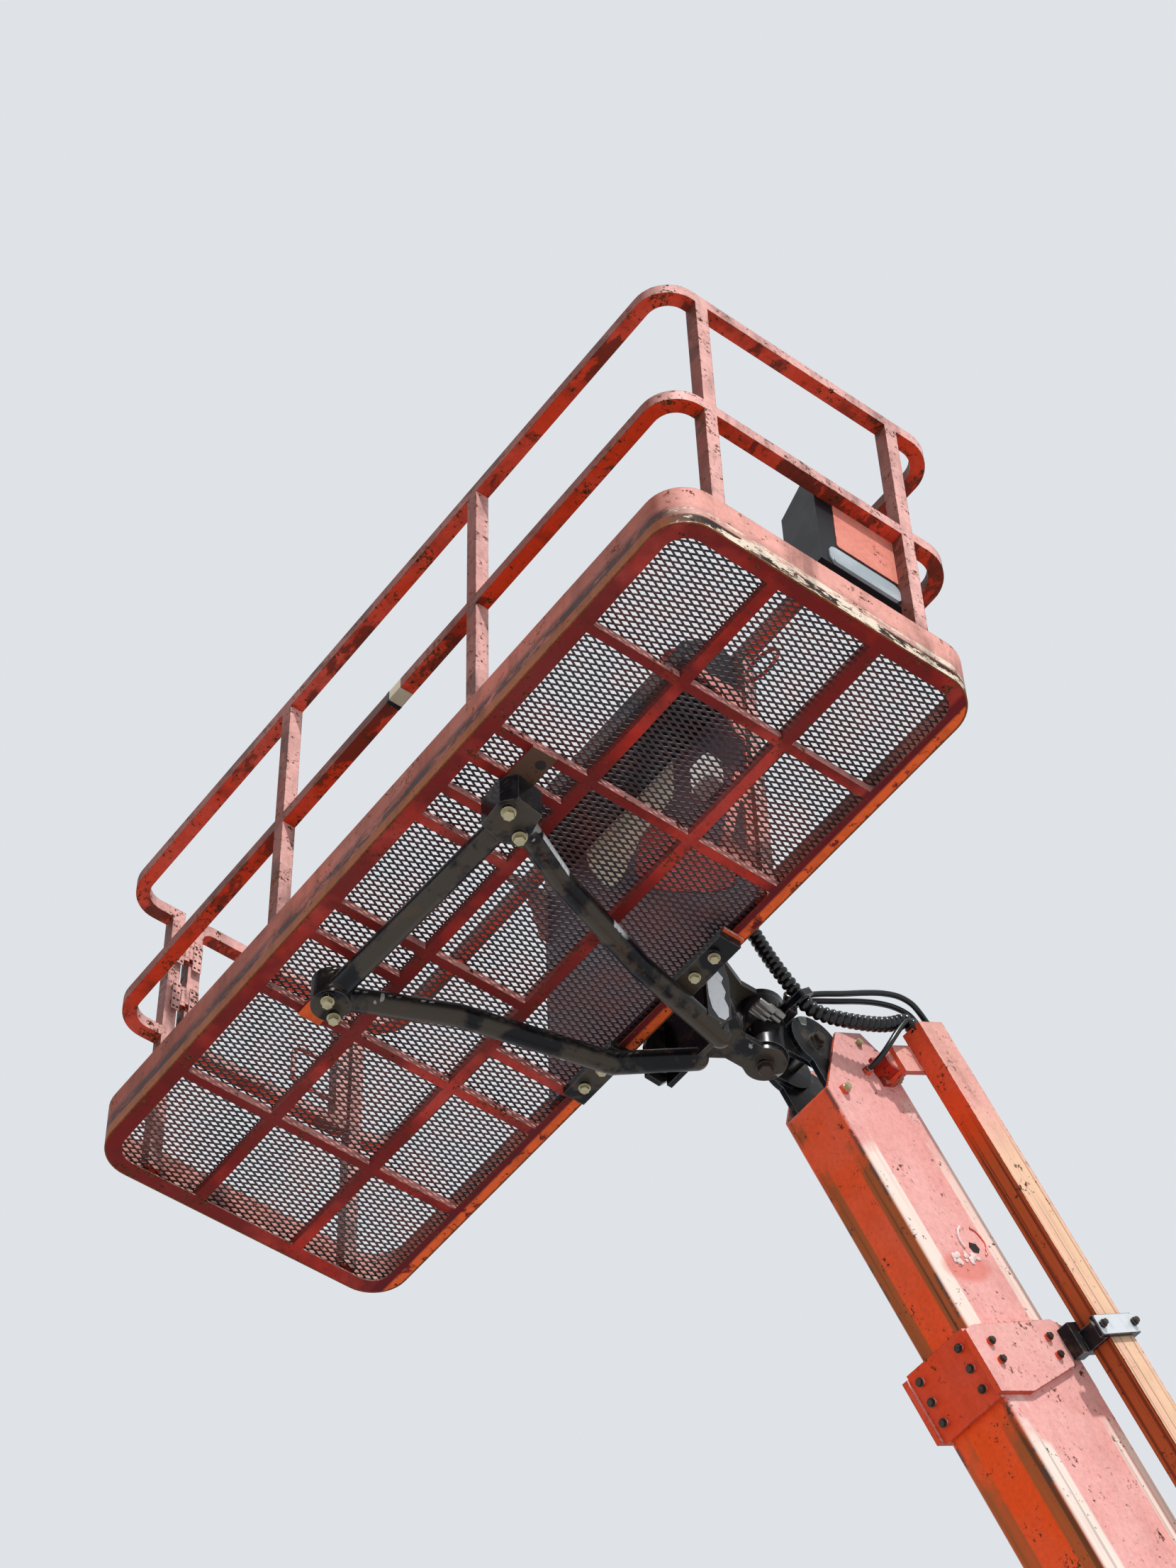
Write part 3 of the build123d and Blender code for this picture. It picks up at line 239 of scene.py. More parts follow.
def worn_paint(name, under, side, lit, rust=0.5, grime=0.5, gloss=0.45, edge=0.004, on_boom=False, wear=None):
    """Old paint in three colours by the way a face looks: full of colour below and its side colour across,
    both painted shade, and pale as painted sunlight where a face turns towards the key lamp; rusty in
    blotches and at its edges.
    """
    g = Graph(name, on_boom)
    cloud = g.noise(8.0, 5.0, 0.65)
    speck = g.noise(75.0, 6.0, 0.75)
    blotch = g.noise(13.0, 6.0, 0.72)
    streak = g.noise(16.0, 4.0, 0.6, stretch=(0.12, 1.0, 1.0) if on_boom else (1.0, 1.0, 0.12))
    sun = g.math("MAXIMUM", g.facing((0, 0.9, 0.25)), g.times(g.facing((0, 0, 1)), 0.85))
    # Painted shade: the under colour on faces that look down and the side colour on the rest stand for the
    # paint out of the lamp's light.
    colour = g.mix(g.step(g.facing(g.down), 0.15, 0.75), side, under)
    colour = g.mix(g.step(g.noise(2.3, 3.0, 0.6), 0.42, 0.72, 0.0, 0.14), colour, lit)
    # Painted sunlight: faces that look towards +Y and up, the key lamp's side, take the pale lit colour.
    painted_sunlight = g.times(g.step(sun, 0.2, 0.8), g.step(cloud, 0.25, 0.7, 1.0, 0.74))
    colour = g.mix(painted_sunlight, colour, lit)
    colour = g.mix(g.step(speck, 0.4, 0.75, 0.0, 0.25), colour, "5a1a10")
    if wear:
        colour = wear(g, colour)
    film = g.times(g.step(streak, 0.46, 0.68), g.step(cloud, 0.35, 0.6), grime)
    colour = g.mix(film, colour, "3d2018")
    bite = g.math("ADD", g.times(speck, 0.55), g.times(blotch, 0.45))
    bite = g.math("ADD", bite, g.times(g.edge(edge), 0.11))
    limit = 0.605 - 0.055 * rust
    chips = g.step(bite, limit, limit + 0.015)
    rust_tone = g.mix(g.step(g.noise(140.0, 3.0), 0.35, 0.65), "27150f", "7c4726")
    colour = g.mix(chips, colour, rust_tone)
    g.bump(g.math("SUBTRACT", g.times(speck, 0.25), chips), 0.35, 0.0012)
    rough = g.math("ADD", g.step(cloud, 0.2, 0.8, gloss - 0.06, gloss + 0.14), g.times(chips, 0.3))
    return g.finish(colour, rough, 0.0, 0.16)


def boom_wear(tip, half_width, middle, half_height):
    """The stripes that the wear pads leave behind the tip: brown along the bottom, cream along the sides."""

    def wear(g, colour):
        across = g.times(g.math("ABSOLUTE", g.axis(1)), 1 / half_width)
        up = g.times(g.math("ABSOLUTE", g.math("SUBTRACT", g.axis(2), middle)), 1 / half_height)
        drag = g.noise(6.0, 4.0, 0.6, stretch=(0.07, 7.0, 7.0))
        ragged = g.math("ADD", g.axis(0), g.step(g.noise(9.0), 0.3, 0.7, -0.15, 0.15))
        reached = g.step(ragged, tip - 0.36, tip - 0.2, 1.0, 0.0)
        below = g.step(g.facing(g.down), 0.5, 0.9)
        beside = g.step(g.math("ABSOLUTE", g.facing((0, 1, 0))), 0.5, 0.9)
        brown = g.times(below, g.band(across, 0.5, 1.2, 0.05), reached)
        cream = g.times(beside, g.band(up, 0.66, 1.2, 0.04), g.step(drag, 0.3, 0.5, 0.35, 1.0), reached)
        colour = g.mix(g.times(brown, g.step(drag, 0.3, 0.5, 0.62, 0.92)), colour, "a65a2b")
        colour = g.mix(g.times(brown, g.step(drag, 0.55, 0.66), 0.8), colour, "4c2a1a")
        bare = g.times(below, g.step(across, 0.8, 0.92), g.step(g.noise(7.0, 5.0, 0.7), 0.56, 0.6))
        colour = g.mix(bare, colour, "4b413c")
        colour = g.mix(cream, colour, "ffeadc")
        return g.mix(g.times(cream, g.step(drag, 0.58, 0.64), 0.5), colour, "9c8f8a")

    return wear


def fly_wear(g, colour):
    """The fly section's stripes and the scorched paint below its mended hole."""
    tip, *sizes = BOOM_SECTIONS["fly"]
    colour = boom_wear(tip, *sizes)(g, colour)
    near = 0.0
    for index, middle, size in zip((0, 2), SCORCH_MIDDLE, SCORCH_SIZE):
        away = g.times(g.math("SUBTRACT", g.axis(index), middle / 1000), 1000 / size)
        near = g.math("ADD", near, g.times(away, away))
    return g.mix(g.step(near, 0.5, 1.1, 0.6, 0.0), colour, "e2705f")


def carrier_wear(g, colour):
    """The hose carrier is worn brown below and chalky at its side by the blocks it slides through."""
    drag = g.noise(9.0, 4.0, 0.6, stretch=(0.05, 9.0, 9.0))
    reached = g.step(g.axis(0), 7.6, 7.78, 1.0, 0.0)
    below = g.times(g.step(g.facing(g.down), 0.5, 0.9), reached)
    beside = g.times(g.step(g.math("ABSOLUTE", g.facing((0, 1, 0))), 0.5, 0.9), reached)
    colour = g.mix(g.times(below, 0.85), colour, "a8562a")
    colour = g.mix(g.times(below, g.step(drag, 0.5, 0.58), 0.8), colour, "5a2416")
    colour = g.mix(g.times(beside, g.step(drag, 0.36, 0.5, 0.3, 0.9)), colour, "f6cda6")
    return g.mix(g.times(beside, g.step(drag, 0.57, 0.61), 0.6), colour, "a3755c")


def rail_wear(g, colour):
    """Long patches of old dirt and bare metal on the rails, drawn strongest on faces turned away from the key
    lamp as painted shade, which makes the outboard side darker.
    """
    patch = g.step(g.noise(5.0, 5.0, 0.7, stretch=(1.0, 0.5, 1.0)), 0.53, 0.57)
    # Painted shade: the dark patches are full on faces turned away from +Y, where the lamp's light does not
    # fall, and faint on lit faces.
    shaded = g.step(g.facing((0, 1, 0)), 0.3, 0.6, 1.0, 0.2)
    colour = g.mix(g.times(patch, shaded, 0.75), colour, "47231a")
    foot = g.step(g.axis(2), PLATFORM.z + 0.17, PLATFORM.z + 0.24, 0.6, 0.0)
    foot = g.times(foot, g.step(g.noise(24.0), 0.4, 0.6))
    return g.mix(foot, colour, "54261a")


def toe_wear(g, colour):
    """The toe board's lower lip worn to rust, the grime above it and the bare cream strip at the far end."""
    up = g.beyond_platform(2)
    torn = g.noise(9.0, 6.0, 0.75, stretch=(1.0, 1.0, 3.0))
    patch = g.step(g.noise(3.4, 4.0, 0.6), 0.5, 0.6)
    far = g.step(g.facing((0, 1, 0)), 0.4, 0.9)
    colour = g.mix(g.times(patch, g.step(far, 0.0, 1.0, 0.5, 0.0)), colour, "b9604c")
    grime = g.times(g.band(up, 0.034, 0.06, 0.025), g.step(torn, 0.38, 0.5), g.step(far, 0.0, 1.0, 0.9, 0.25))
    colour = g.mix(grime, colour, "231a1e")
    lip = g.times(g.band(up, -1.0, 0.034, 0.004), g.step(torn, 0.3, 0.5, 0.6, 0.95))
    colour = g.mix(lip, colour, "86471f")
    strip = g.times(far, g.band(up, -1.0, 0.056, 0.006), g.step(torn, 0.49, 0.53, 0.95, 0.1))
    colour = g.mix(strip, colour, "f7e6d0")
    crack = g.times(far, g.band(up, 0.008, 0.03, 0.006), g.step(torn, 0.5, 0.52))
    return g.mix(crack, colour, "2a1c18")


def frame_wear(g, colour):
    """The frame's underside: maroon patches, a rusty orange rim towards the boom and bright lugs."""
    x = g.beyond_platform(0)
    up = g.beyond_platform(2)
    below = g.step(g.facing(g.down), 0.3, 0.9)
    blotch = g.noise(12.0, 5.0, 0.7)
    patch = g.step(g.noise(2.6, 4.0, 0.6), 0.4, 0.52)
    colour = g.mix(g.times(patch, below, 0.75), colour, "5c0f12")
    side = g.step(x, -HALF_WIDTH + 0.06, -HALF_WIDTH + 0.05)
    colour = g.mix(g.times(side, below, 0.9), colour, "64101a")
    rim = g.times(g.step(x, -HALF_WIDTH + 0.03, -HALF_WIDTH + 0.024), below, g.step(blotch, 0.62, 0.56))
    lug = g.times(g.step(up, -0.004, -0.006), below)
    colour = g.mix(g.math("MAXIMUM", rim, lug), colour, "f0652c")
    return g.mix(g.times(lug, g.step(x, 0.2, 0.21), g.step(g.axis(1), 0.3, 0.31)), colour, "5c4335")


def black_paint(name, base="121318", worn="6d6a66", wear=0.6, soiled="2b2624", highlight_spots=0.0, gloss=0.3,
                extra=None):
    """Black paint rubbed grey along its edges, dusty on top and soiled below, with pale spots as painted
    highlights.
    """
    g = Graph(name)
    cloud = g.noise(11.0, 5.0, 0.65)
    fine = g.noise(90.0, 5.0, 0.7)
    patches = g.step(g.noise(6.0, 5.0, 0.6), 0.46, 0.52)
    dust = g.times(g.step(g.facing((0, 0.3, 0.95)), 0.0, 1.0), g.step(cloud, 0.35, 0.75, 0.05, 0.45))
    colour = g.mix(g.times(patches, g.step(g.facing(g.down), 0.1, 0.6)), base, soiled)
    colour = g.mix(dust, colour, "8b857c")
    stain = g.times(g.step(g.noise(22.0, 4.0, 0.6), 0.58, 0.66), 0.5)
    colour = g.mix(stain, colour, "5b4430")
    # Painted highlights: pale upright spots that stand for the lamp's glints on black paint.
    painted_highlight_spots = g.times(g.step(g.noise(19.0, 2.0, 0.5, stretch=(1.0, 1.0, 0.35)), 0.70, 0.715), highlight_spots)
    colour = g.mix(painted_highlight_spots, colour, "c9cbc4")
    rub = g.times(g.edge(0.004), g.step(fine, 0.35, 0.6, 0.15, wear))
    colour = g.mix(rub, colour, worn)
    if extra:
        colour = extra(g, colour)
    g.bump(g.math("ADD", g.times(fine, 0.4), g.times(stain, -0.4)), 0.25, 0.001)
    return g.finish(colour, g.step(cloud, 0.2, 0.8, gloss - 0.05, gloss + 0.2), 0.0, 0.22)


def painted_highlight_streaks(g, colour):
    """Two long painted highlights along the side of the tube frame's tube that faces the key lamp, towards
    the far end.
    """
    x = g.beyond_platform(0)
    both = g.math("ADD", g.band(x, 0.055, 0.166, 0.006), g.band(x, -0.217, -0.131, 0.006))
    # Painted highlight: only faces turned towards the key lamp get the pale streaks.
    place = g.times(g.step(g.axis(1), 0.2, 0.21), g.step(g.facing((-0.27, 0.88, 0.38)), 0.62, 0.68))
    return g.mix(g.times(both, place, g.step(g.noise(40.0, 4.0, 0.6), 0.36, 0.42)), colour, "eef2f2")


def plain_metal(name, base, rough, metal=1.0, stain="6b4a2c", amount=0.3):
    """Bare or plated metal, finely scratched, with stains."""
    g = Graph(name)
    cloud = g.noise(30.0, 5.0, 0.6)
    fine = g.noise(300.0, 2.0, 0.5, stretch=(1, 1, 0.1))
    colour = g.mix(g.times(g.step(cloud, 0.5, 0.75), amount), base, stain)
    g.bump(fine, 0.08, 0.0004)
    return g.finish(colour, g.step(cloud, 0.2, 0.8, rough - 0.08, rough + 0.14), metal)


def rubber(name, base, dust, dust_amount=0.35, rough=0.7):
    """Dusty rubber."""
    g = Graph(name)
    cloud = g.noise(14.0, 5.0, 0.65)
    fine = g.noise(160.0, 4.0, 0.6)
    colour = g.mix(g.times(g.step(cloud, 0.42, 0.72), dust_amount), base, dust)
    g.bump(fine, 0.2, 0.0006)
    return g.finish(colour, g.step(cloud, 0.2, 0.8, rough - 0.08, rough + 0.14))


def plastic(name, base, scuff, amount=0.2, rough=0.5):
    """Moulded plastic with a fine grain and scuffs at its edges."""
    g = Graph(name)
    cloud = g.noise(9.0, 4.0, 0.6)
    grain = g.noise(420.0, 2.0, 0.5)
    colour = g.mix(g.times(g.step(cloud, 0.46, 0.74), amount), base, scuff)
    colour = g.mix(g.times(g.edge(0.003), 0.5), colour, scuff)
    g.bump(grain, 0.12, 0.0004)
    return g.finish(colour, g.step(cloud, 0.2, 0.8, rough - 0.08, rough + 0.12), 0.0, 0.3)


def tyre_material():
    """Rubber with dust in the tread's hollows and pale scuffs on the side walls."""
    g = Graph("tyre_rubber")
    cloud = g.noise(10.0, 5.0, 0.65)
    fine = g.noise(120.0, 4.0, 0.6)
    dust = g.times(g.step(cloud, 0.35, 0.7), 0.6)
    colour = g.mix(dust, "1b1b1c", "776b5b")
    colour = g.mix(g.times(g.edge(0.006), 0.5), colour, "3c3b3a")
    g.bump(fine, 0.3, 0.001)
    return g.finish(colour, g.step(cloud, 0.2, 0.8, 0.7, 0.92))


def mesh_material():
    """Soiled steel strands, a little paler where boots rub them."""
    g = Graph("expanded_metal")
    cloud = g.noise(6.0, 5.0, 0.65)
    colour = g.mix(g.step(cloud, 0.4, 0.65), "2c2226", "5a2a22")
    colour = g.mix(g.step(g.facing((0, 0, 1)), 0.2, 0.9, 0.0, 0.6), colour, "9a5f50")
    g.bump(g.noise(220.0), 0.3, 0.0006)
    return g.finish(colour, g.step(cloud, 0.2, 0.8, 0.5, 0.75))


# Each worn paint is given three colours, below, at the side and lit: the lit one is painted sunlight and the
# other two are painted shade.
BOOM_WEAR = {"base": None, "mid": boom_wear(*BOOM_SECTIONS["mid"]), "fly": fly_wear}
BOOM = {}
for section, wear in BOOM_WEAR.items():
    BOOM[section] = worn_paint(
        section + "_boom_paint", "ff5410", "d9553a", "ffc0b9",
        rust=0.35, grime=0.15, gloss=0.34, edge=0.005, on_boom=True, wear=wear,
    )
COLLAR = worn_paint(
    "collar_paint", "ee4a1e", "cf5236", "ffc2ba", rust=0.35, grime=0.15, gloss=0.4, on_boom=True,
)
CARRIER = worn_paint(
    "carrier_paint", "f04c12", "b9452a", "ffc0b2",
    rust=0.4, grime=0.25, edge=0.006, on_boom=True, wear=carrier_wear,
)
ORANGE = worn_paint("orange_paint", "b03c1a", "c9431f", "dd6a4c", rust=0.25, grime=0.25)
RAILS = worn_paint("rail_paint", "e03c16", "74382e", "ffc4ba", rust=0.9, grime=0.6, gloss=0.5, wear=rail_wear)
TOE = worn_paint("toe_board_paint", "7e3c28", "86402f", "ffb8aa", 0.6, 0.5, 0.55, wear=toe_wear)
MEMBERS = worn_paint("floor_paint", "bb2c1e", "7c1c18", "ffb4aa", 0.8, 0.45, 0.55, wear=frame_wear)
BRACKETS = worn_paint("bracket_paint", "b4281a", "a02a20", "f0a094", rust=0.55, grime=0.4)
TRAY = worn_paint("tray_paint", "a8241a", "a8241a", "b23428", rust=0.4, grime=0.3)
SALMON = worn_paint("salmon_paint", "c8604c", "c8604c", "f59a88", rust=0.2, grime=0.2)
BLACK = black_paint("black_paint", "0b0e15", "b4b9bb", 0.85, soiled="1c1b1d", highlight_spots=0.5, gloss=0.24)
FRAME_BLACK = black_paint(
    "tube_frame_paint", "0f0f14", "8b8781", 0.8, soiled="463e34", highlight_spots=0.6, gloss=0.2, extra=painted_highlight_streaks,
)
AXLE_BLACK = black_paint("axle_paint", "17171a", "5c5955", 0.5, soiled="4b4136")
GREY = worn_paint("grey_paint", "6c6d6e", "77797a", "a9a9a6", rust=0.35, grime=0.4)
STEEL = plain_metal("bare_steel", "8d8a85", 0.38)
BOLT = plain_metal("bolt_steel", "4a4038", 0.5, 0.7, stain="3a2216", amount=0.8)
PALE_BOLT = plain_metal("plated_bolt", "bdb391", 0.42, 0.8, stain="5c4630", amount=0.4)
CHROME = plain_metal("chromed_rod", "c9ccd0", 0.12, amount=0.05)
BARE = plain_metal("bare_patch", "e4e8ea", 0.3, 0.2, stain="9a9ea0", amount=0.35)
CAST = worn_paint("cast_iron", "232325", "2b2b2d", "55524e", rust=0.35, grime=0.5)
BLACK_PLASTIC = plastic("black_plastic", "090a10", "3b3b43", 0.2)
PANEL = plastic("console_panel_plastic", "3f2632", "6a4a58", 0.5)
BEIGE = plastic("beige_plate", "c9bda4", "7d725f", 0.35, 0.6)
GREY_PLASTIC = plastic("grey_plastic", "a3adb2", "dfe4e6", 0.5)
WHITE_PLASTIC = plastic("white_plastic", "d9d8d3", "8e8a82", 0.35, 0.35)
# Painted sunlight: the weld's colours are all the boom paint's pale sunlit tone, also on faces turned from
# the lamp.
SUNLIT_WELD = worn_paint("weld_sunlit_paint", "e8b3a8", "e8b3a8", "ffe8e2", rust=0.4, grime=0.2)
RED_PLASTIC = plastic("red_plastic", "b3150f", "7a1b14", 0.3, 0.35)
YELLOW_PLASTIC = plastic("yellow_plastic", "d8a413", "8f6f1c", 0.3, 0.4)
NYLON = plastic("nylon", "cfc8b2", "8b8371", 0.5, 0.45)
HOSE = rubber("hose_rubber", "08080b", "3d3a38", 0.15, 0.2)
# Dark rubber for the console's boots, also laid over holes as painted shade.
HOLE_SHADE_AND_RUBBER = rubber("hole_shade_and_boot_rubber", "170c0a", "2c1a16", 0.4)
TYRE = tyre_material()
STRANDS = mesh_material()

NODES = {
    ORANGE: "chassis_frame turntable_deck boom_tower hood_left hood_right",
    AXLE_BLACK: "front_axle rear_axle steering_knuckle_left steering_knuckle_right hydraulic_tank fuel_tank",
    STEEL: "slew_ring boom_pivot_pin lift_foot_pin level_pin",
    CAST: "counterweight engine_block",
    BLACK_PLASTIC: "ground_controls control_console manual_box",
    BOOM["base"]: "base_boom",
    BOOM["mid"]: "mid_boom",
    BOOM["fly"]: "fly_boom",
    COLLAR: "base_boom_collar mid_boom_collar",
    NYLON: "base_wear_pads mid_wear_pads",
    BLACK: "carrier_clamp fly_nose level_bracket",
    CARRIER: "hose_carrier",
    GREY: "lift_cylinder_barrel rim_front_left rim_front_right rim_rear_left rim_rear_right",
    CHROME: "lift_cylinder_rod",
    FRAME_BLACK: "support_frame",
    MEMBERS: "floor_frame",
    TOE: "toe_board",
    RAILS: "guard_rails gate",
    BRACKETS: "console_bracket",
    PANEL: "console_panel",
    TYRE: "tyre_front_left tyre_front_right tyre_rear_left tyre_rear_right",
}
for material, names in NODES.items():
    for node in names.split():
        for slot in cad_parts[node].material_slots:
            slot.material = material



# Pieces


def ring_faces(rows, sides):
    """The faces that join rings of vertices row by row, with a cap at each end."""
    faces = []
    for low in range(0, (rows - 1) * sides, sides):
        for k in range(sides):
            j = (k + 1) % sides
            faces.append((low + k, low + j, low + sides + j, low + sides + k))
    last = (rows - 1) * sides
    faces.append(tuple(range(sides))[::-1])
    faces.append(tuple(range(last, last + sides)))
    return faces


def lathe(profile, place, axis, sides=24, twist=0.0):
    """A shape turned about axis from place; profile: radius and height, from end to end."""
    upward = Vector(axis).normalized()
    first = upward.orthogonal().normalized()
    second = upward.cross(first)
    vertices = []
    for radius, height in profile:
        for k in range(sides):
            turn = twist + 2 * math.pi * k / sides
            out = first * math.cos(turn) + second * math.sin(turn)
            vertices.append(Vector(place) + out * radius + upward * height)
    return vertices, ring_faces(len(profile), sides)


def slab(outline, place, thickness):
    """A flat plate: its outline's points, put in space by place(u, v, height)."""
    vertices = [place(u, v, height) for height in (0, thickness) for u, v in outline]
    return vertices, ring_faces(2, len(outline))


def beside_boom(y):
    """The place function of a plate that lies against the boom's side."""
    return lambda s, n, height: on_boom(s, y + height, n)


def facing_far_end(y):
    """The place function of a plate that stands across the platform and faces its far end."""
    return lambda x, z, height: on_platform(x, y + height, z)


def on_wall(wall, side):
    """The place function of a plate on a hood's side wall, in metres."""
    return lambda x, z, height: Vector((x, wall + side * height, z))


def rounded(low_u, low_v, high_u, high_v, radius, steps=5):
    """The outline of a rectangle with round corners."""
    outline = []
    corners = [(high_u, high_v, 0), (low_u, high_v, 90), (low_u, low_v, 180), (high_u, low_v, 270)]
    for u, v, start in corners:
        middle_u = u - radius if u == high_u else u + radius
        middle_v = v - radius if v == high_v else v + radius
        for i in range(steps + 1):
            turn = math.radians(start + 90 * i / steps)
            outline.append((middle_u + radius * math.cos(turn), middle_v + radius * math.sin(turn)))
    return outline


def smooth_path(points):
    """The points of a smooth line that has the given ones as its control points."""
    curve = bpy.data.curves.new("route", "CURVE")
    curve.dimensions = "3D"
    curve.resolution_u = 10
    spline = curve.splines.new("NURBS")
    spline.points.add(len(points) - 1)
    for knot, point in zip(spline.points, points):
        knot.co = (*point, 1)
    spline.order_u = 3
    spline.use_endpoint_u = True
    route = bpy.data.objects.new("route", curve)
    mesh = bpy.data.meshes.new_from_object(route)
    path = [vertex.co.copy() for vertex in mesh.vertices]
    bpy.data.objects.remove(route)
    bpy.data.curves.remove(curve)
    bpy.data.meshes.remove(mesh)
    return path


def resample(path, step):
    """Points at an even distance along a path."""
    lengths = [0.0]
    for a, b in zip(path, path[1:]):
        lengths.append(lengths[-1] + (b - a).length)
    count = max(int(lengths[-1] / step), 2)
    out = []
    k = 0
    for i in range(count + 1):
        wanted = lengths[-1] * i / count
        while k < len(lengths) - 2 and lengths[k + 1] < wanted:
            k += 1
        span = max(lengths[k + 1] - lengths[k], 1e-9)
        out.append(path[k].lerp(path[k + 1], (wanted - lengths[k]) / span))
    return out


def uneven_tube(path, radii, sides):
    """A closed tube whose radius changes from point to point."""
    vertices = []
    normal = None
    for i, point in enumerate(path):
        ahead = path[min(i + 1, len(path) - 1)] - path[max(i - 1, 0)]
        ahead.normalize()
        if normal is None:
            normal = ahead.orthogonal().normalized()
        normal = (normal - ahead * normal.dot(ahead)).normalized()
        side = ahead.cross(normal)
        for k in range(sides):
            turn = 2 * math.pi * k / sides
            vertices.append(point + (normal * math.cos(turn) + side * math.sin(turn)) * radii[i])
    return vertices, ring_faces(len(path), sides)


def tube(path, radius, sides):
    """A closed tube of one radius along a path."""
    return uneven_tube(path, [radius] * len(path), sides)


def ribbed_hose(points, radius, pitch=0.019, depth=0.0055):
    """A ribbed hose along the points: a ridge and a groove at each pitch."""
    count = 6
    path = resample(smooth_path(points), pitch / count)
    swell = [0.5 - 0.5 * math.cos(2 * math.pi * i / count) for i in range(count)]
    radii = [radius - depth * (1 - swell[i % count] ** 0.6) for i in range(len(path))]
    return uneven_tube(path, radii, 18)


def smooth_hose(points, radius):
    """A plain hose along the points."""
    return tube(resample(smooth_path(points), 0.008), radius, 12)


def mesh_piece(name, parts, material, smooth=False):
    """One object made of several shapes, each its vertices and its faces."""
    vertices = []
    faces = []
    for part_vertices, part_faces in parts:
        start = len(vertices)
        vertices.extend(tuple(v) for v in part_vertices)
        faces.extend(tuple(start + i for i in face) for face in part_faces)
    mesh = bpy.data.meshes.new(name)
    mesh.from_pydata(vertices, [], faces)
    mesh.validate()
    piece = bpy.data.objects.new(name, mesh)
    bpy.context.scene.collection.objects.link(piece)
    mesh.materials.append(material)
    for polygon in mesh.polygons:
        polygon.use_smooth = smooth
    mesh.set_sharp_from_angle(angle=math.radians(40))
    return piece


def trim(name, parts, material, body, smooth=True):
    """A piece that rides on a body."""
    piece = mesh_piece(name, parts, material, smooth)
    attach(piece, body)


def bolts(name, body, rows, material):
    """Hexagon heads on washers; rows: place, axis, distance across the flats and height of each head."""
    parts = []
    for place, axis, flats, height in rows:
        rim = flats * 0.72
        corner = flats / 2 / math.cos(math.pi / 6)
        bevel = flats * 0.06
        foot = 0.002
        washer = [(rim, -0.0005), (rim, 0.0017), (rim - 0.0005, 0.0022)]
        head = [(corner, foot), (corner, foot + height - bevel), (corner - bevel, foot + height)]
        parts.append(lathe(washer, place, axis, 18))
        parts.append(lathe(head, place, axis, 6, random.uniform(0, 1)))
    trim(name, parts, material, body, False)


def expanded_metal():
    """The floor's diamond mesh, strand by strand, inside the toe board."""
    low, high = box_corners("floor_mesh")
    half_x = (high.x - low.x) / 2
    half_y = (high.y - low.y) / 2
    long_half, short_half, strand, thickness, tilt = 0.019, 0.0082, 0.0025, 0.003, 0.0012
    corner, corner_gap = 0.1, 0.016
    keep = 1 - strand * math.hypot(long_half, short_half) / (long_half * short_half)
    # each tip of a diamond, and how far it leans, as in metal that was slit and pulled open
    tips = [(long_half, 0, 0), (0, short_half, tilt), (-long_half, 0, 0), (0, -short_half, -tilt)]
    vertices = {}
    faces = []

    def vertex(x, y, z):
        key = (round(x, 5), round(y, 5), round(z, 5))
        return vertices.setdefault(key, len(vertices))

    rows = int(half_y / short_half) + 1
    columns = int(half_x / long_half) + 1
    for column in range(-columns, columns + 1):
        for row in range(-rows, rows + 1):
            x = column * long_half
            y = row * short_half
            out_x = max(abs(x) - (half_x - corner), 0)
            out_y = max(abs(y) - (half_y - corner), 0)
            beyond = abs(x) > half_x - long_half or abs(y) > half_y - short_half
            if (column + row) % 2 or beyond or math.hypot(out_x, out_y) > corner - corner_gap:
                continue
            rings = []
            for scale, height, slant in ((1, thickness, 0), (keep, thickness, 1), (keep, 0, 1), (1, 0, 0)):
                rings.append([
                    vertex(PLATFORM.x + x + tip_x * scale, y + tip_y * scale, low.z + height + lean * slant)
                    for tip_x, tip_y, lean in tips
                ])
            for upper, lower in zip(rings, rings[1:]):
                for i in range(4):
                    j = (i + 1) % 4
                    faces.append((upper[j], upper[i], lower[i], lower[j]))
    piece = mesh_piece("expanded_metal_floor", [(vertices, faces)], STRANDS)
    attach(piece, "platform")
    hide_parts("floor_mesh")


def carrier_run(y, n, beyond, points):
    """A hose's route: two points in the carrier's open end, then points in the platform's millimetres."""
    run = [on_boom(CARRIER_TIP - 110, y, n), on_boom(CARRIER_TIP + beyond, y, n)]
    return run + [on_platform(*point) for point in points]


def at_clamp(along):
    """A point on the big hose's line through its clamp, which rises by 45 degrees towards +X."""
    x, y, z = HOSE_CLAMP
    return x + along * math.sqrt(0.5), y, z + along * math.sqrt(0.5)


def hose_piece(name, parts, node):
    """A piece of hose that takes the place of a plain node."""
    piece = mesh_piece(name, parts, HOSE, True)
    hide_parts(node)
    return piece


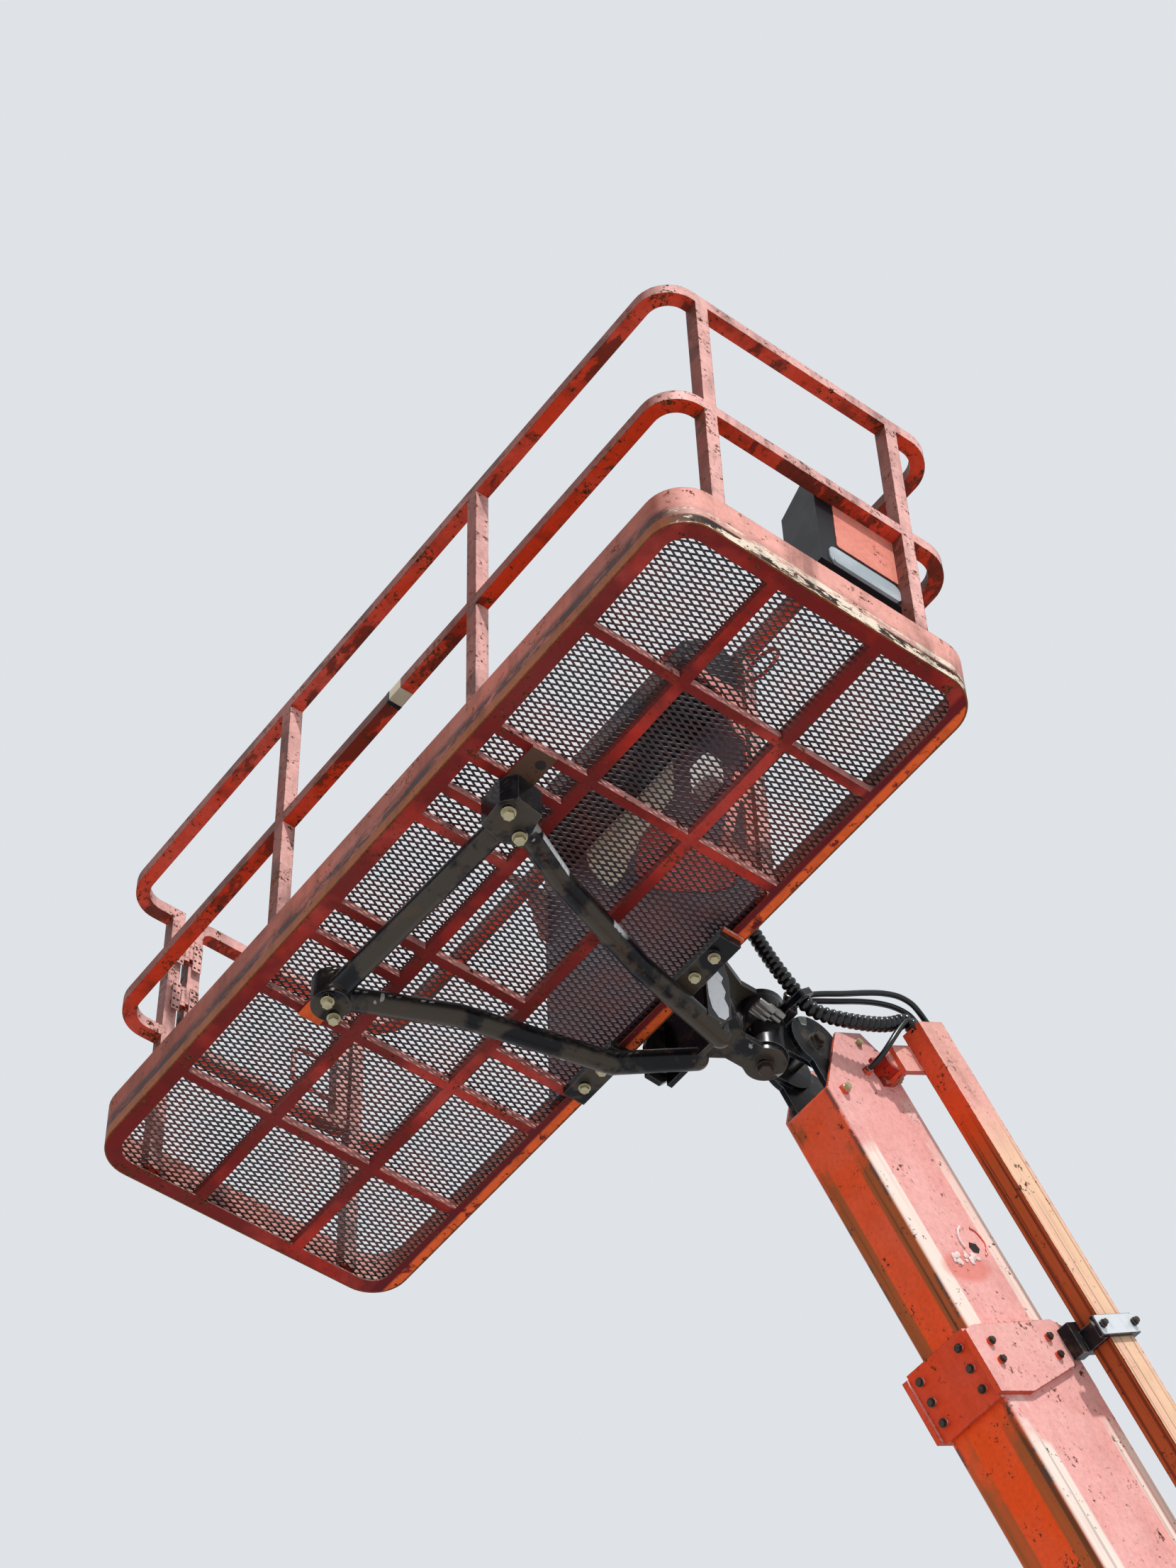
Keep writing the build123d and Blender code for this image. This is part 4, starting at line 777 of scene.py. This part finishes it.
def hoses():
    """The hoses from the carrier's end to the clamp and ports on the head, and on to the console."""
    big = [(-1064, 172, 232), (-998, 164, 199), (-930, 155, 175), (-868, 142, 164)]
    big += [at_clamp(-32), at_clamp(-0.2)]
    first = [(-1110, 160, 340), (-1053, 147, 334), (-996, 134, 314), (-936, 118, 288), (-885, 100, 272),
             (-846, 86, 258), (-826, 77, 237), (-803, 68, 236.5)]
    second = [(-1106, 186, 356), (-1050, 174, 346), (-994, 160, 322), (-934, 143, 293), (-880, 124, 275),
              (-846, 111, 260), (-824, 101, 238), (-791, 88, 237)]
    branch = [(-1082, 186, 222), (-1056, 170, 160), (-1041, 142, 117), (-1041, 101, 117)]
    upward = [at_clamp(0.2), at_clamp(34), (-740, 121, 270), (-707, 112, 332), (-672, 106, 400),
              (-630, 106, 480), (-580, 109, 565), (-535, 112, 650), (-503, 115, 735), (-482, 115, 815),
              (-446, 115, 863)]
    parts = [
        ribbed_hose(carrier_run(186, 498, 34, big), HOSE_RADIUS),
        smooth_hose(carrier_run(168, 548, 42, first), THIN_HOSE_RADIUS),
        smooth_hose(carrier_run(190, 551, 56, second), THIN_HOSE_RADIUS),
    ]
    piece = hose_piece("carrier_hose_bundle", parts, "carrier_hoses")
    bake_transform(piece)
    parts = [smooth_hose(carrier_run(198, 483, 32, branch), THIN_HOSE_RADIUS)]
    piece = hose_piece("fly_branch_hose", parts, "carrier_hoses")
    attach(piece, "boom_fly")
    parts = [ribbed_hose([on_platform(*point) for point in upward], HOSE_RADIUS)]
    piece = hose_piece("platform_hose", parts, "platform_hoses")
    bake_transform(piece)


def boom_bolts():
    """The bolt heads on the two collars, the carrier's clamp and the side of the fly section."""

    def both_sides(stations, out, heights, *size):
        return [(on_boom(s, side * out, n), ACROSS * side, *size)
                for s in stations for n in heights for side in (-1, 1)]

    def along_bottom(stations, out, height, *size):
        return [(on_boom(s, side * out, height), -ABOVE, *size) for s in stations for side in (-1, 1)]

    rows = both_sides((7138, 7085), MID_COLLAR_SIDE, (132, 373), 0.0155, 0.006)
    rows += along_bottom((7038, 7096, 7154), 72, MID_COLLAR_BOTTOM, 0.0165, 0.006)
    bolts("mid_collar_bolts", "boom_mid", rows, BOLT)
    rows = both_sides((5850, 5915), BASE_COLLAR_SIDE, (190, 370), 0.03, 0.014)
    rows += along_bottom((5800, 5862, 5924), 108, BASE_COLLAR_BOTTOM, 0.03, 0.014)
    bolts("base_collar_bolts", "boom_base", rows, BOLT)
    rows = [(on_boom(7097, CLAMP_BOSS, n), ACROSS, 0.015, 0.008) for n in (439, 576)]
    bolts("clamp_bolts", "boom_mid", rows, BOLT)
    rows = both_sides((7916,), EAR_SIDE, (198,), 0.018, 0.01)
    for s, n in ((8066, 372), (7950, 452), (7990, 452)):
        rows.append((on_boom(s, FLY_SIDE, n), ACROSS, 0.017, 0.01))
    bolts("fly_bolts", "boom_fly", rows, PALE_BOLT)


def carrier_foot():
    """The foot that holds the hose carrier on the fly section."""
    foot = [(7928, 372), (8012, 372), (8012, 420), (7990, 446), (7944, 446), (7928, 420)]
    boss = [(0.034, -0.01), (0.034, 0.052), (0.03, 0.056), (0.0, 0.056)]
    parts = [
        slab(foot, beside_boom(FLY_SIDE), 12),
        lathe(boss, on_boom(7972, FLY_SIDE + 1, 400), ACROSS, 20),
    ]
    trim("carrier_foot", parts, BRACKETS, "boom_fly")


def bead(middle, reach, first, last, size):
    """A weld's bead along an arc on the fly section's side, in the boom's millimetres."""
    count = abs(last - first) // 6
    path = []
    for i in range(count + 1):
        turn = math.radians(first + (last - first) * i / count)
        out = reach + random.uniform(-1.5, 1.5)
        path.append(on_boom(middle[0] + out * math.cos(turn), FLY_SIDE + 1, middle[1] + out * math.sin(turn)))
    return uneven_tube(path, [size * random.uniform(0.8, 1.15) for _ in path], 8)


def mended_hole():
    """The hole in the fly section's side, shown as a dark plate of painted shade, with a bead on both sides
    and drops of weld below it.
    """
    weld = [bead(HOLE_MIDDLE, 48, -112, -24, 0.0052)]
    ring = [bead(HOLE_MIDDLE, 48, 28, 152, 0.0034)]
    trim("mended_hole_ring", ring, COLLAR, "boom_fly")
    s, n = WELD_MIDDLE
    for i in range(30):
        up = 52 * random.uniform(-1, 1)
        along = 15 * random.uniform(-1, 1) * math.sqrt(1 - (up / 56) ** 2)
        size = random.uniform(4, 10) / 1000
        drop = [(size, -0.002), (size * 0.85, size * 0.15), (size * 0.5, size * 0.3), (0.0, size * 0.36)]
        weld.append(lathe(drop, on_boom(s + along, FLY_SIDE + 1, n + up), ACROSS, 10))
    trim("mended_hole_weld", weld, SUNLIT_WELD, "boom_fly")
    # Painted shade: a thin dark plate stands for the inside of the hole.
    hole = [(7446, 338), (7440, 362), (7424, 366), (7412, 352), (7416, 334), (7432, 328)]
    parts = [slab(hole, beside_boom(FLY_SIDE + 0.2), 0.6)]
    trim("mended_hole", parts, HOLE_SHADE_AND_RUBBER, "boom_fly", False)


def clamp_plate():
    """The outer plate of the carrier's clamp."""
    parts = [slab(rounded(7070, 424, 7124, 582, 6), beside_boom(CLAMP_SIDE), 1.6)]
    trim("clamp_outer_plate", parts, BARE, "boom_mid", False)


def head_trim():
    """Steel fittings at the ports and clamp, a pale patch on the yoke's side that is partly a painted glint
    and partly bare metal, and the pins' keepers.
    """
    ferrule = [(0.0, 0.0), (0.0115, 0.0), (0.0115, 0.02), (0.0098, 0.023), (0.0098, 0.046),
               (0.0085, 0.048), (0.0, 0.048)]
    short = [(radius, height * 0.45) for radius, height in ferrule]
    parts = [lathe(short, on_platform(x, y, PORT_TOP), UP, 12) for x, y in ROTATOR_PORTS]
    for y in (52, 68, 84):
        for x in (ROTATOR_X, ROTATOR_X + 32):
            parts.append(lathe(ferrule, on_platform(x, y, 150), (1, 0, 0.25), 12))
    trim("head_fittings", parts, STEEL, "platform_head")
    # Painted glint: a pale patch on the yoke's lit side, partly worn paint.
    patch = [(-496, 122), (-487, 60), (-490, 0), (-499, -40), (-518, -62), (-538, -60), (-551, -38),
             (-552, -5), (-540, 22), (-546, 50), (-534, 78), (-541, 100), (-520, 118)]
    parts = [slab(patch, facing_far_end(YOKE_SIDE), 0.7)]
    trim("yoke_glint_and_bare_patch", parts, BARE, "platform", False)
    rows = []
    for x, out, z, flats, height in ((-895, 76, 153.5, 0.03, 0.012), (-862, 50, 110, 0.022, 0.01),
                                     (-862, 50, 200, 0.022, 0.01)):
        rows += [(on_platform(x, side * out, z), ACROSS * side, flats, height) for side in (-1, 1)]
    bolts("head_bolts", "platform_head", rows, BOLT)


def platform_bolts():
    """The bolt heads that hold the tube frame under the platform, the rotator's, and dark discs as painted
    shade in the lugs' holes.
    """
    rows = [(on_platform(x, y, -116), DOWN, flats, 0.014)
            for x, y, flats in ((235, 330, 0.026), (300, 375, 0.026), (270, -385, 0.024), (312, -350, 0.024))]
    rows += [(on_platform(-400, y, -46), DOWN, 0.022, 0.01) for y in (185, 262, -190, -262)]
    bolts("tube_frame_bolts", "platform", rows, PALE_BOLT)
    rows = [(on_platform(ROTATOR_X, 0, 36), DOWN, 0.034, 0.014)]
    rows.append((on_platform(ROTATOR_X, 0, 282), UP, 0.048, 0.02))
    bolts("rotator_bolts", "platform", rows, BOLT)
    # Painted shade: each lug hole is a thin dark disc.
    hole = [(0.013, 0.0), (0.013, 0.0012), (0.0095, 0.0014), (0.0, 0.0014)]
    parts = [lathe(hole, on_platform(x, y, LUG_BOTTOM), DOWN, 18)
             for x, y in ((273, 466), (252, -441), (-401, 295), (-424, -277))]
    trim("lug_holes", parts, HOLE_SHADE_AND_RUBBER, "platform")


def gate_plates():
    """The hinge straps on the gate and its post: plates with rows of holes, each a dark dot of painted shade.
    """
    # Painted shade: each hole is a flat dark dot.
    dot = [(0.0042, 0.0), (0.0042, 0.0004), (0.0, 0.0005)]
    on_face = facing_far_end(GATE_FACE)
    for body, name, left, right in (("platform", "post", 268, 294), ("platform_gate", "gate", 212, 240)):
        straps = []
        holes = []
        for low in (640, 830):
            straps.append(slab(rounded(left, low - 8, right, low + 104, 3), on_face, 2))
            for i in range(4):
                for x in (left + 7, right - 7):
                    holes.append(lathe(dot, on_face(x, low + 4 + 29 * i, 2.1), ACROSS, 10))
        trim(name + "_hinge_straps", straps, RAILS, body, False)
        trim(name + "_strap_holes", holes, HOLE_SHADE_AND_RUBBER, body)


def rail_sleeve(low_y, high_y, swell):
    """A close sleeve round the outboard middle rail, in the platform's millimetres."""
    low_x, low_z, high_x, high_z = MIDDLE_RAIL
    outline = rounded(low_x - swell, low_z - swell, high_x + swell, high_z + swell, 3 + swell)
    return slab(outline, facing_far_end(low_y), high_y - low_y)


def rail_details():
    """The tape and the ring on the middle rail."""
    trim("rail_tape", [rail_sleeve(84, 132, 0.9)], BEIGE, "platform", False)
    trim("rail_ring", [rail_sleeve(72, 84, 1.6)], BLACK_PLASTIC, "platform", False)


def box_plates():
    """The plates on the face of the box for papers."""
    on_box = facing_far_end(BOX_FACE)
    plate = slab(rounded(-296, 352, -74, 546, 8), on_box, 2)
    trim("box_salmon_plate", [plate], SALMON, "platform")
    lid = [
        slab(rounded(-262, 268, -46, 334, 22), on_box, 4),
        slab(rounded(-254, 264, -54, 284, 9), on_box, 9),
    ]
    trim("box_grey_lid", lid, GREY_PLASTIC, "platform")


def panel_plates():
    """What hangs on the dark panel behind the console, and a beige sheet in the shape of the patch that
    sunlight falls on, which is painted light.
    """

    def on_panel(y, z, height):
        return on_platform(PANEL_FACE + height, y, z)

    # Painted light: a pale sheet in the outline of the sunlit patch on the dark panel.
    sheet = [(-229, 860), (156, 860), (153, 709), (19, 690), (-88, 590), (-140, 622), (-210, 775)]
    trim("panel_painted_sunlit_patch", [slab(sheet, on_panel, 1.5)], BEIGE, "platform", False)
    tray = [(-22, 585), (8, 657), (48, 690), (156, 559), (275, 366), (351, 241), (370, 173), (347, 142),
            (263, 202), (150, 318), (14, 463)]
    trim("panel_red_plate", [slab(tray, on_panel, 3.5)], TRAY, "platform", False)
    parts = [
        slab(rounded(272, 556, 348, 660, 12), on_panel, 44),
        slab(rounded(280, 564, 340, 652, 9), on_panel, 52),
    ]
    trim("panel_junction_box", parts, WHITE_PLASTIC, "platform", False)


def post_ring():
    """The loop of bar at the post beside the console."""
    loop = []
    for i in range(33):
        turn = 2 * math.pi * i / 32
        across = math.cos(turn)
        loop.append(on_platform(-425 - 8 * across, 507 + 58 * across, 912 + 40 * math.sin(turn)))
    trim("post_ring", [tube(loop, 0.0055, 10)], BRACKETS, "platform")


def toggle_switch(place, axis):
    """A small toggle switch."""
    profile = [(0.009, 0.0), (0.009, 0.004), (0.005, 0.006), (0.003, 0.022), (0.0042, 0.03), (0.0, 0.032)]
    return lathe(profile, place, axis, 12)


def stop_button(name, guard, knob, place, axis, body):
    """A red stop button in its yellow guard."""
    trim(name + "_stop_base", [lathe(guard, place, axis)], YELLOW_PLASTIC, body)
    trim(name + "_stop_button", [lathe(knob, place, axis)], RED_PLASTIC, body)


def console_levers():
    """The two levers on the console's top, in their rubber boots."""
    levers = []
    boots = []
    boot = [(0.044, 0.0), (0.044, 0.006), (0.036, 0.012), (0.033, 0.02), (0.036, 0.024), (0.026, 0.034),
            (0.028, 0.04), (0.014, 0.056), (0.0, 0.056)]
    lever = [(0.0, 0.05), (0.009, 0.052), (0.009, 0.08), (0.017, 0.094), (0.021, 0.13), (0.019, 0.152),
             (0.01, 0.163), (0.0, 0.164)]
    for y in (-190, 250):
        foot = on_platform(-364, y, CONSOLE_TOP)
        boots.append(lathe(boot, foot, UP))
        levers.append(lathe(lever, foot, (0.06, 0.02, 1)))
    trim("console_levers", levers, BLACK_PLASTIC, "platform")
    trim("console_boots", boots, HOLE_SHADE_AND_RUBBER, "platform")


def console_switches():
    """A stop button, switches and lamps on the console's slope, with no lettering."""
    slope = Vector((0.627, 0, 0.779))

    def on_slope(y, down):
        return on_platform(-317 + 77 * down, y, CONSOLE_TOP - 62 * down) + slope * 0.0002

    guard = [(0.031, 0.0), (0.031, 0.004), (0.024, 0.006), (0.016, 0.006), (0.016, 0.014), (0.0, 0.014)]
    knob = [(0.0, 0.014), (0.02, 0.014), (0.022, 0.019), (0.021, 0.027), (0.014, 0.031), (0.0, 0.032)]
    lamp_profile = [(0.006, 0.0), (0.006, 0.003), (0.004, 0.006), (0.0, 0.007)]
    stop_button("console", guard, knob, on_slope(330, 0.5), slope, "platform")
    toggles = []
    lamps = []
    for i in range(7):
        y = -250 + 62 * i
        toggles.append(toggle_switch(on_slope(y, 0.62), slope + Vector((0, 0.12 * (-1) ** i, 0))))
        lamps.append(lathe(lamp_profile, on_slope(y, 0.25), slope, 12))
    trim("console_toggles", toggles, STEEL, "platform")
    trim("console_lamps", lamps, YELLOW_PLASTIC, "platform")


def ground_panel():
    """The switches on the ground cabinet, seen through the left hood's window."""
    x, y, z = GROUND_PANEL
    guard = [(0.026, 0.0), (0.026, 0.004), (0.014, 0.006), (0.014, 0.014), (0.0, 0.014)]
    knob = [(0.0, 0.014), (0.018, 0.014), (0.02, 0.02), (0.013, 0.028), (0.0, 0.029)]
    stop_button("ground", guard, knob, (x + 0.04, y, z + 0.05), ACROSS, "turntable")
    parts = [toggle_switch((x - 0.055 + 0.032 * i, y, z - 0.03 - 0.04 * j), (0, 1, 0.1 * (-1) ** i))
             for i in range(4) for j in range(2)]
    gauge = [(0.022, 0.0), (0.022, 0.008), (0.018, 0.01), (0.0, 0.01)]
    parts.append(lathe(gauge, (x - 0.035, y, z + 0.05), ACROSS))
    trim("ground_switches", parts, STEEL, "turntable")


def hood_trim():
    """Two latches and a grab bar on each hood."""
    for name, side in (("left", 1), ("right", -1)):
        low, high = box_corners("hood_" + name)
        wall = high.y if side > 0 else low.y
        latches = []
        for x in (low.x + 0.34, high.x - 0.3):
            plate = rounded(x - 0.045, low.z + 0.05, x + 0.045, low.z + 0.11, 0.012)
            handle = rounded(x - 0.028, low.z + 0.062, x + 0.028, low.z + 0.098, 0.008)
            latches.append(slab(plate, on_wall(wall, side), 0.007))
            latches.append(slab(handle, on_wall(wall, side), 0.013))
        trim(f"hood_{name}_latches", latches, BLACK_PLASTIC, "hood_" + name, False)
        middle = (low.x + high.x) / 2
        bend = ((0.11, -0.004), (0.11, 0.02), (0.1, 0.032))
        reaches = [(-dx, out) for dx, out in bend] + list(bend[::-1])
        bar = [Vector((middle + dx, wall + side * out, low.z + 0.08)) for dx, out in reaches]
        parts = [tube(resample(bar, 0.008), 0.006, 10)]
        trim(f"hood_{name}_grab_bar", parts, BLACK, "hood_" + name)


def wheels():
    """Hexagon nuts, a hub cap and rubber ribs on each wheel."""
    cap = [(0.0, 0.0), (0.05, 0.0), (0.05, 0.01), (0.044, 0.018), (0.024, 0.022), (0.022, 0.03),
           (0.0, 0.031)]
    ring = [(math.cos(a * math.pi / 24), math.sin(a * math.pi / 24)) for a in range(49)]
    for end in ("front", "rear"):
        for name, side in (("left", 1), ("right", -1)):
            centre = box_middle(f"tyre_{end}_{name}")
            body = f"wheel_{end}_{name}"
            rows = []
            for i in range(8):
                turn = math.radians(45 * i + 22.5)
                spot = centre + Vector((0.16 * math.sin(turn), side * 0.102, 0.16 * math.cos(turn)))
                rows.append((spot, ACROSS * side, 0.03, 0.014))
            bolts(body + "_nuts", body, rows, BOLT)
            hub = lathe(cap, centre + ACROSS * side * 0.124, ACROSS * side)
            trim(body + "_hub_cap", [hub], AXLE_BLACK, body)
            ribs = []
            for radius, reach in ((0.318, 0.151), (0.345, 0.1655), (0.37, 0.1775)):
                for y in (-side * reach, side * reach):
                    rib = [centre + Vector((radius * x, y, radius * z)) for x, z in ring]
                    ribs.append(tube(rib, 0.0035, 6))
            trim(body + "_ribs", ribs, TYRE, body)


def slew_bolts():
    """The ring of bolts round the slew ring, and the keepers of the two large pins."""
    middle = box_middle("slew_ring")
    middle.z = box_corners("slew_ring")[1].z
    rows = []
    for i in range(36):
        turn = 2 * math.pi * i / 36
        spot = middle + Vector((0.4205 * math.cos(turn), 0.4205 * math.sin(turn), 0))
        rows.append((spot, UP, 0.0135, 0.008))
    bolts("slew_ring_bolts", "chassis", rows, BOLT)
    rows = []
    for pin in ("boom_pivot_pin", "lift_foot_pin"):
        middle = box_middle(pin)
        reach = box_corners(pin)[1] - middle
        for side in (-1, 1):
            for dx in (-0.02, 0.02):
                spot = middle + Vector((dx, side * reach.y, 0))
                rows.append((spot, ACROSS * side, 0.018, 0.009))
    bolts("pin_bolts", "turntable", rows, BOLT)


def lift_pipe():
    """The steel oil pipe along the lift cylinder's barrel, with its two unions."""
    foot = box_middle("lift_foot_pin")
    way = (on_boom(*LIFT_EYE) - foot).normalized()
    off = Vector((-way.z, 0, way.x))
    shape = ((0.2, 0.07), (0.2, 0.108), (0.24, 0.112), (1.2, 0.112), (1.26, 0.11), (1.26, 0.078))
    route = [foot + way * reach + off * out for reach, out in shape]
    union = [(0.0, 0.0), (0.017, 0.0), (0.017, 0.016), (0.012, 0.02), (0.0, 0.02)]
    parts = [tube(resample(smooth_path(route), 0.012), 0.009, 12)]
    parts += [lathe(union, foot + way * reach + off * 0.079, off, 6) for reach in (0.2, 1.26)]
    trim("lift_oil_pipe", parts, STEEL, "lift_barrel")


def filler_caps():
    """The caps on the two tanks under the left hood."""
    profile = [(0.0, -0.002), (0.05, -0.002), (0.05, 0.012), (0.046, 0.014), (0.046, 0.034), (0.04, 0.04),
               (0.0, 0.04)]
    for tank, material in (("hydraulic_tank", AXLE_BLACK), ("fuel_tank", RED_PLASTIC)):
        spot = box_middle(tank) + Vector((0.1, 0.1, 0))
        spot.z = box_corners(tank)[1].z
        trim(tank + "_cap", [lathe(profile, spot, UP)], material, "turntable")


expanded_metal()
hoses()
boom_bolts()
carrier_foot()
mended_hole()
clamp_plate()
head_trim()
platform_bolts()
gate_plates()
rail_details()
box_plates()
panel_plates()
post_ring()
console_levers()
console_switches()
ground_panel()
hood_trim()
wheels()
slew_bolts()
lift_pipe()
filler_caps()

# Floor, light and camera

def seen_rays(tree):
    """1 for rays that show a surface to the camera, also in a mirror or through glass, or else 0."""
    rays = tree.nodes.new("ShaderNodeLightPath")
    seen = rays.outputs["Is Camera Ray"]
    for name in ("Is Glossy Ray", "Is Transmission Ray"):
        either = tree.nodes.new("ShaderNodeMath")
        either.operation = "MAXIMUM"
        tree.links.new(seen, either.inputs[0])
        tree.links.new(rays.outputs[name], either.inputs[1])
        seen = either.outputs[0]
    return seen


def background(tree, colour, strength):
    """A plain background of one colour."""
    node = tree.nodes.new("ShaderNodeBackground")
    node.inputs["Color"].default_value = colour
    node.inputs["Strength"].default_value = strength
    return node.outputs[0]


def lamp(name, towards, strength, spread):
    """A far lamp whose light comes from the direction towards."""
    data = bpy.data.lights.new(name, "SUN")
    data.energy = strength
    data.angle = math.radians(spread)
    item = bpy.data.objects.new(name, data)
    item.rotation_euler = Vector(towards).to_track_quat("Z", "Y").to_euler()
    bpy.context.scene.collection.objects.link(item)


bpy.ops.mesh.primitive_plane_add(size=400, location=(0, 0, -0.001))
floor = bpy.context.object
floor.name = "studio_floor"
g = Graph("studio_floor")
pale = g.mix(g.noise(0.4), "cfd2d5", "d2d5d8")
floor.data.materials.append(g.finish(g.mix(seen_rays(g.tree), "c2c4c6", pale), 0.8, 0.0, 0.3))

world = bpy.data.worlds.new("studio")
bpy.context.scene.world = world
world.use_nodes = True
tree = world.node_tree
tree.nodes.clear()
output = tree.nodes.new("ShaderNodeOutputWorld")
mixer = tree.nodes.new("ShaderNodeMixShader")
tree.links.new(seen_rays(tree), mixer.inputs[0])
tree.links.new(background(tree, (0.93, 0.96, 1.0, 1), 0.54), mixer.inputs[1])
tree.links.new(background(tree, rgb("dfe3e8"), 1.0), mixer.inputs[2])
tree.links.new(mixer.outputs[0], output.inputs["Surface"])

lamp("key", (0.27, 0.64, 0.72), 2.55, 2)
lamp("fill", (0.7, -0.5, 0.5), 0.35, 60)

camera_data = bpy.data.cameras.new("camera")
camera_data.lens = 85.1227
camera_data.sensor_width = 36
camera_data.clip_end = 500
camera = bpy.data.objects.new("camera", camera_data)
camera.location = (6.26279, 4.64939, 1.67830)
camera.rotation_euler = [math.radians(a) for a in (142.32208, 1.24729, 143.09796)]
bpy.context.scene.collection.objects.link(camera)
bpy.context.scene.camera = camera
bpy.context.scene.view_settings.view_transform = "Standard"
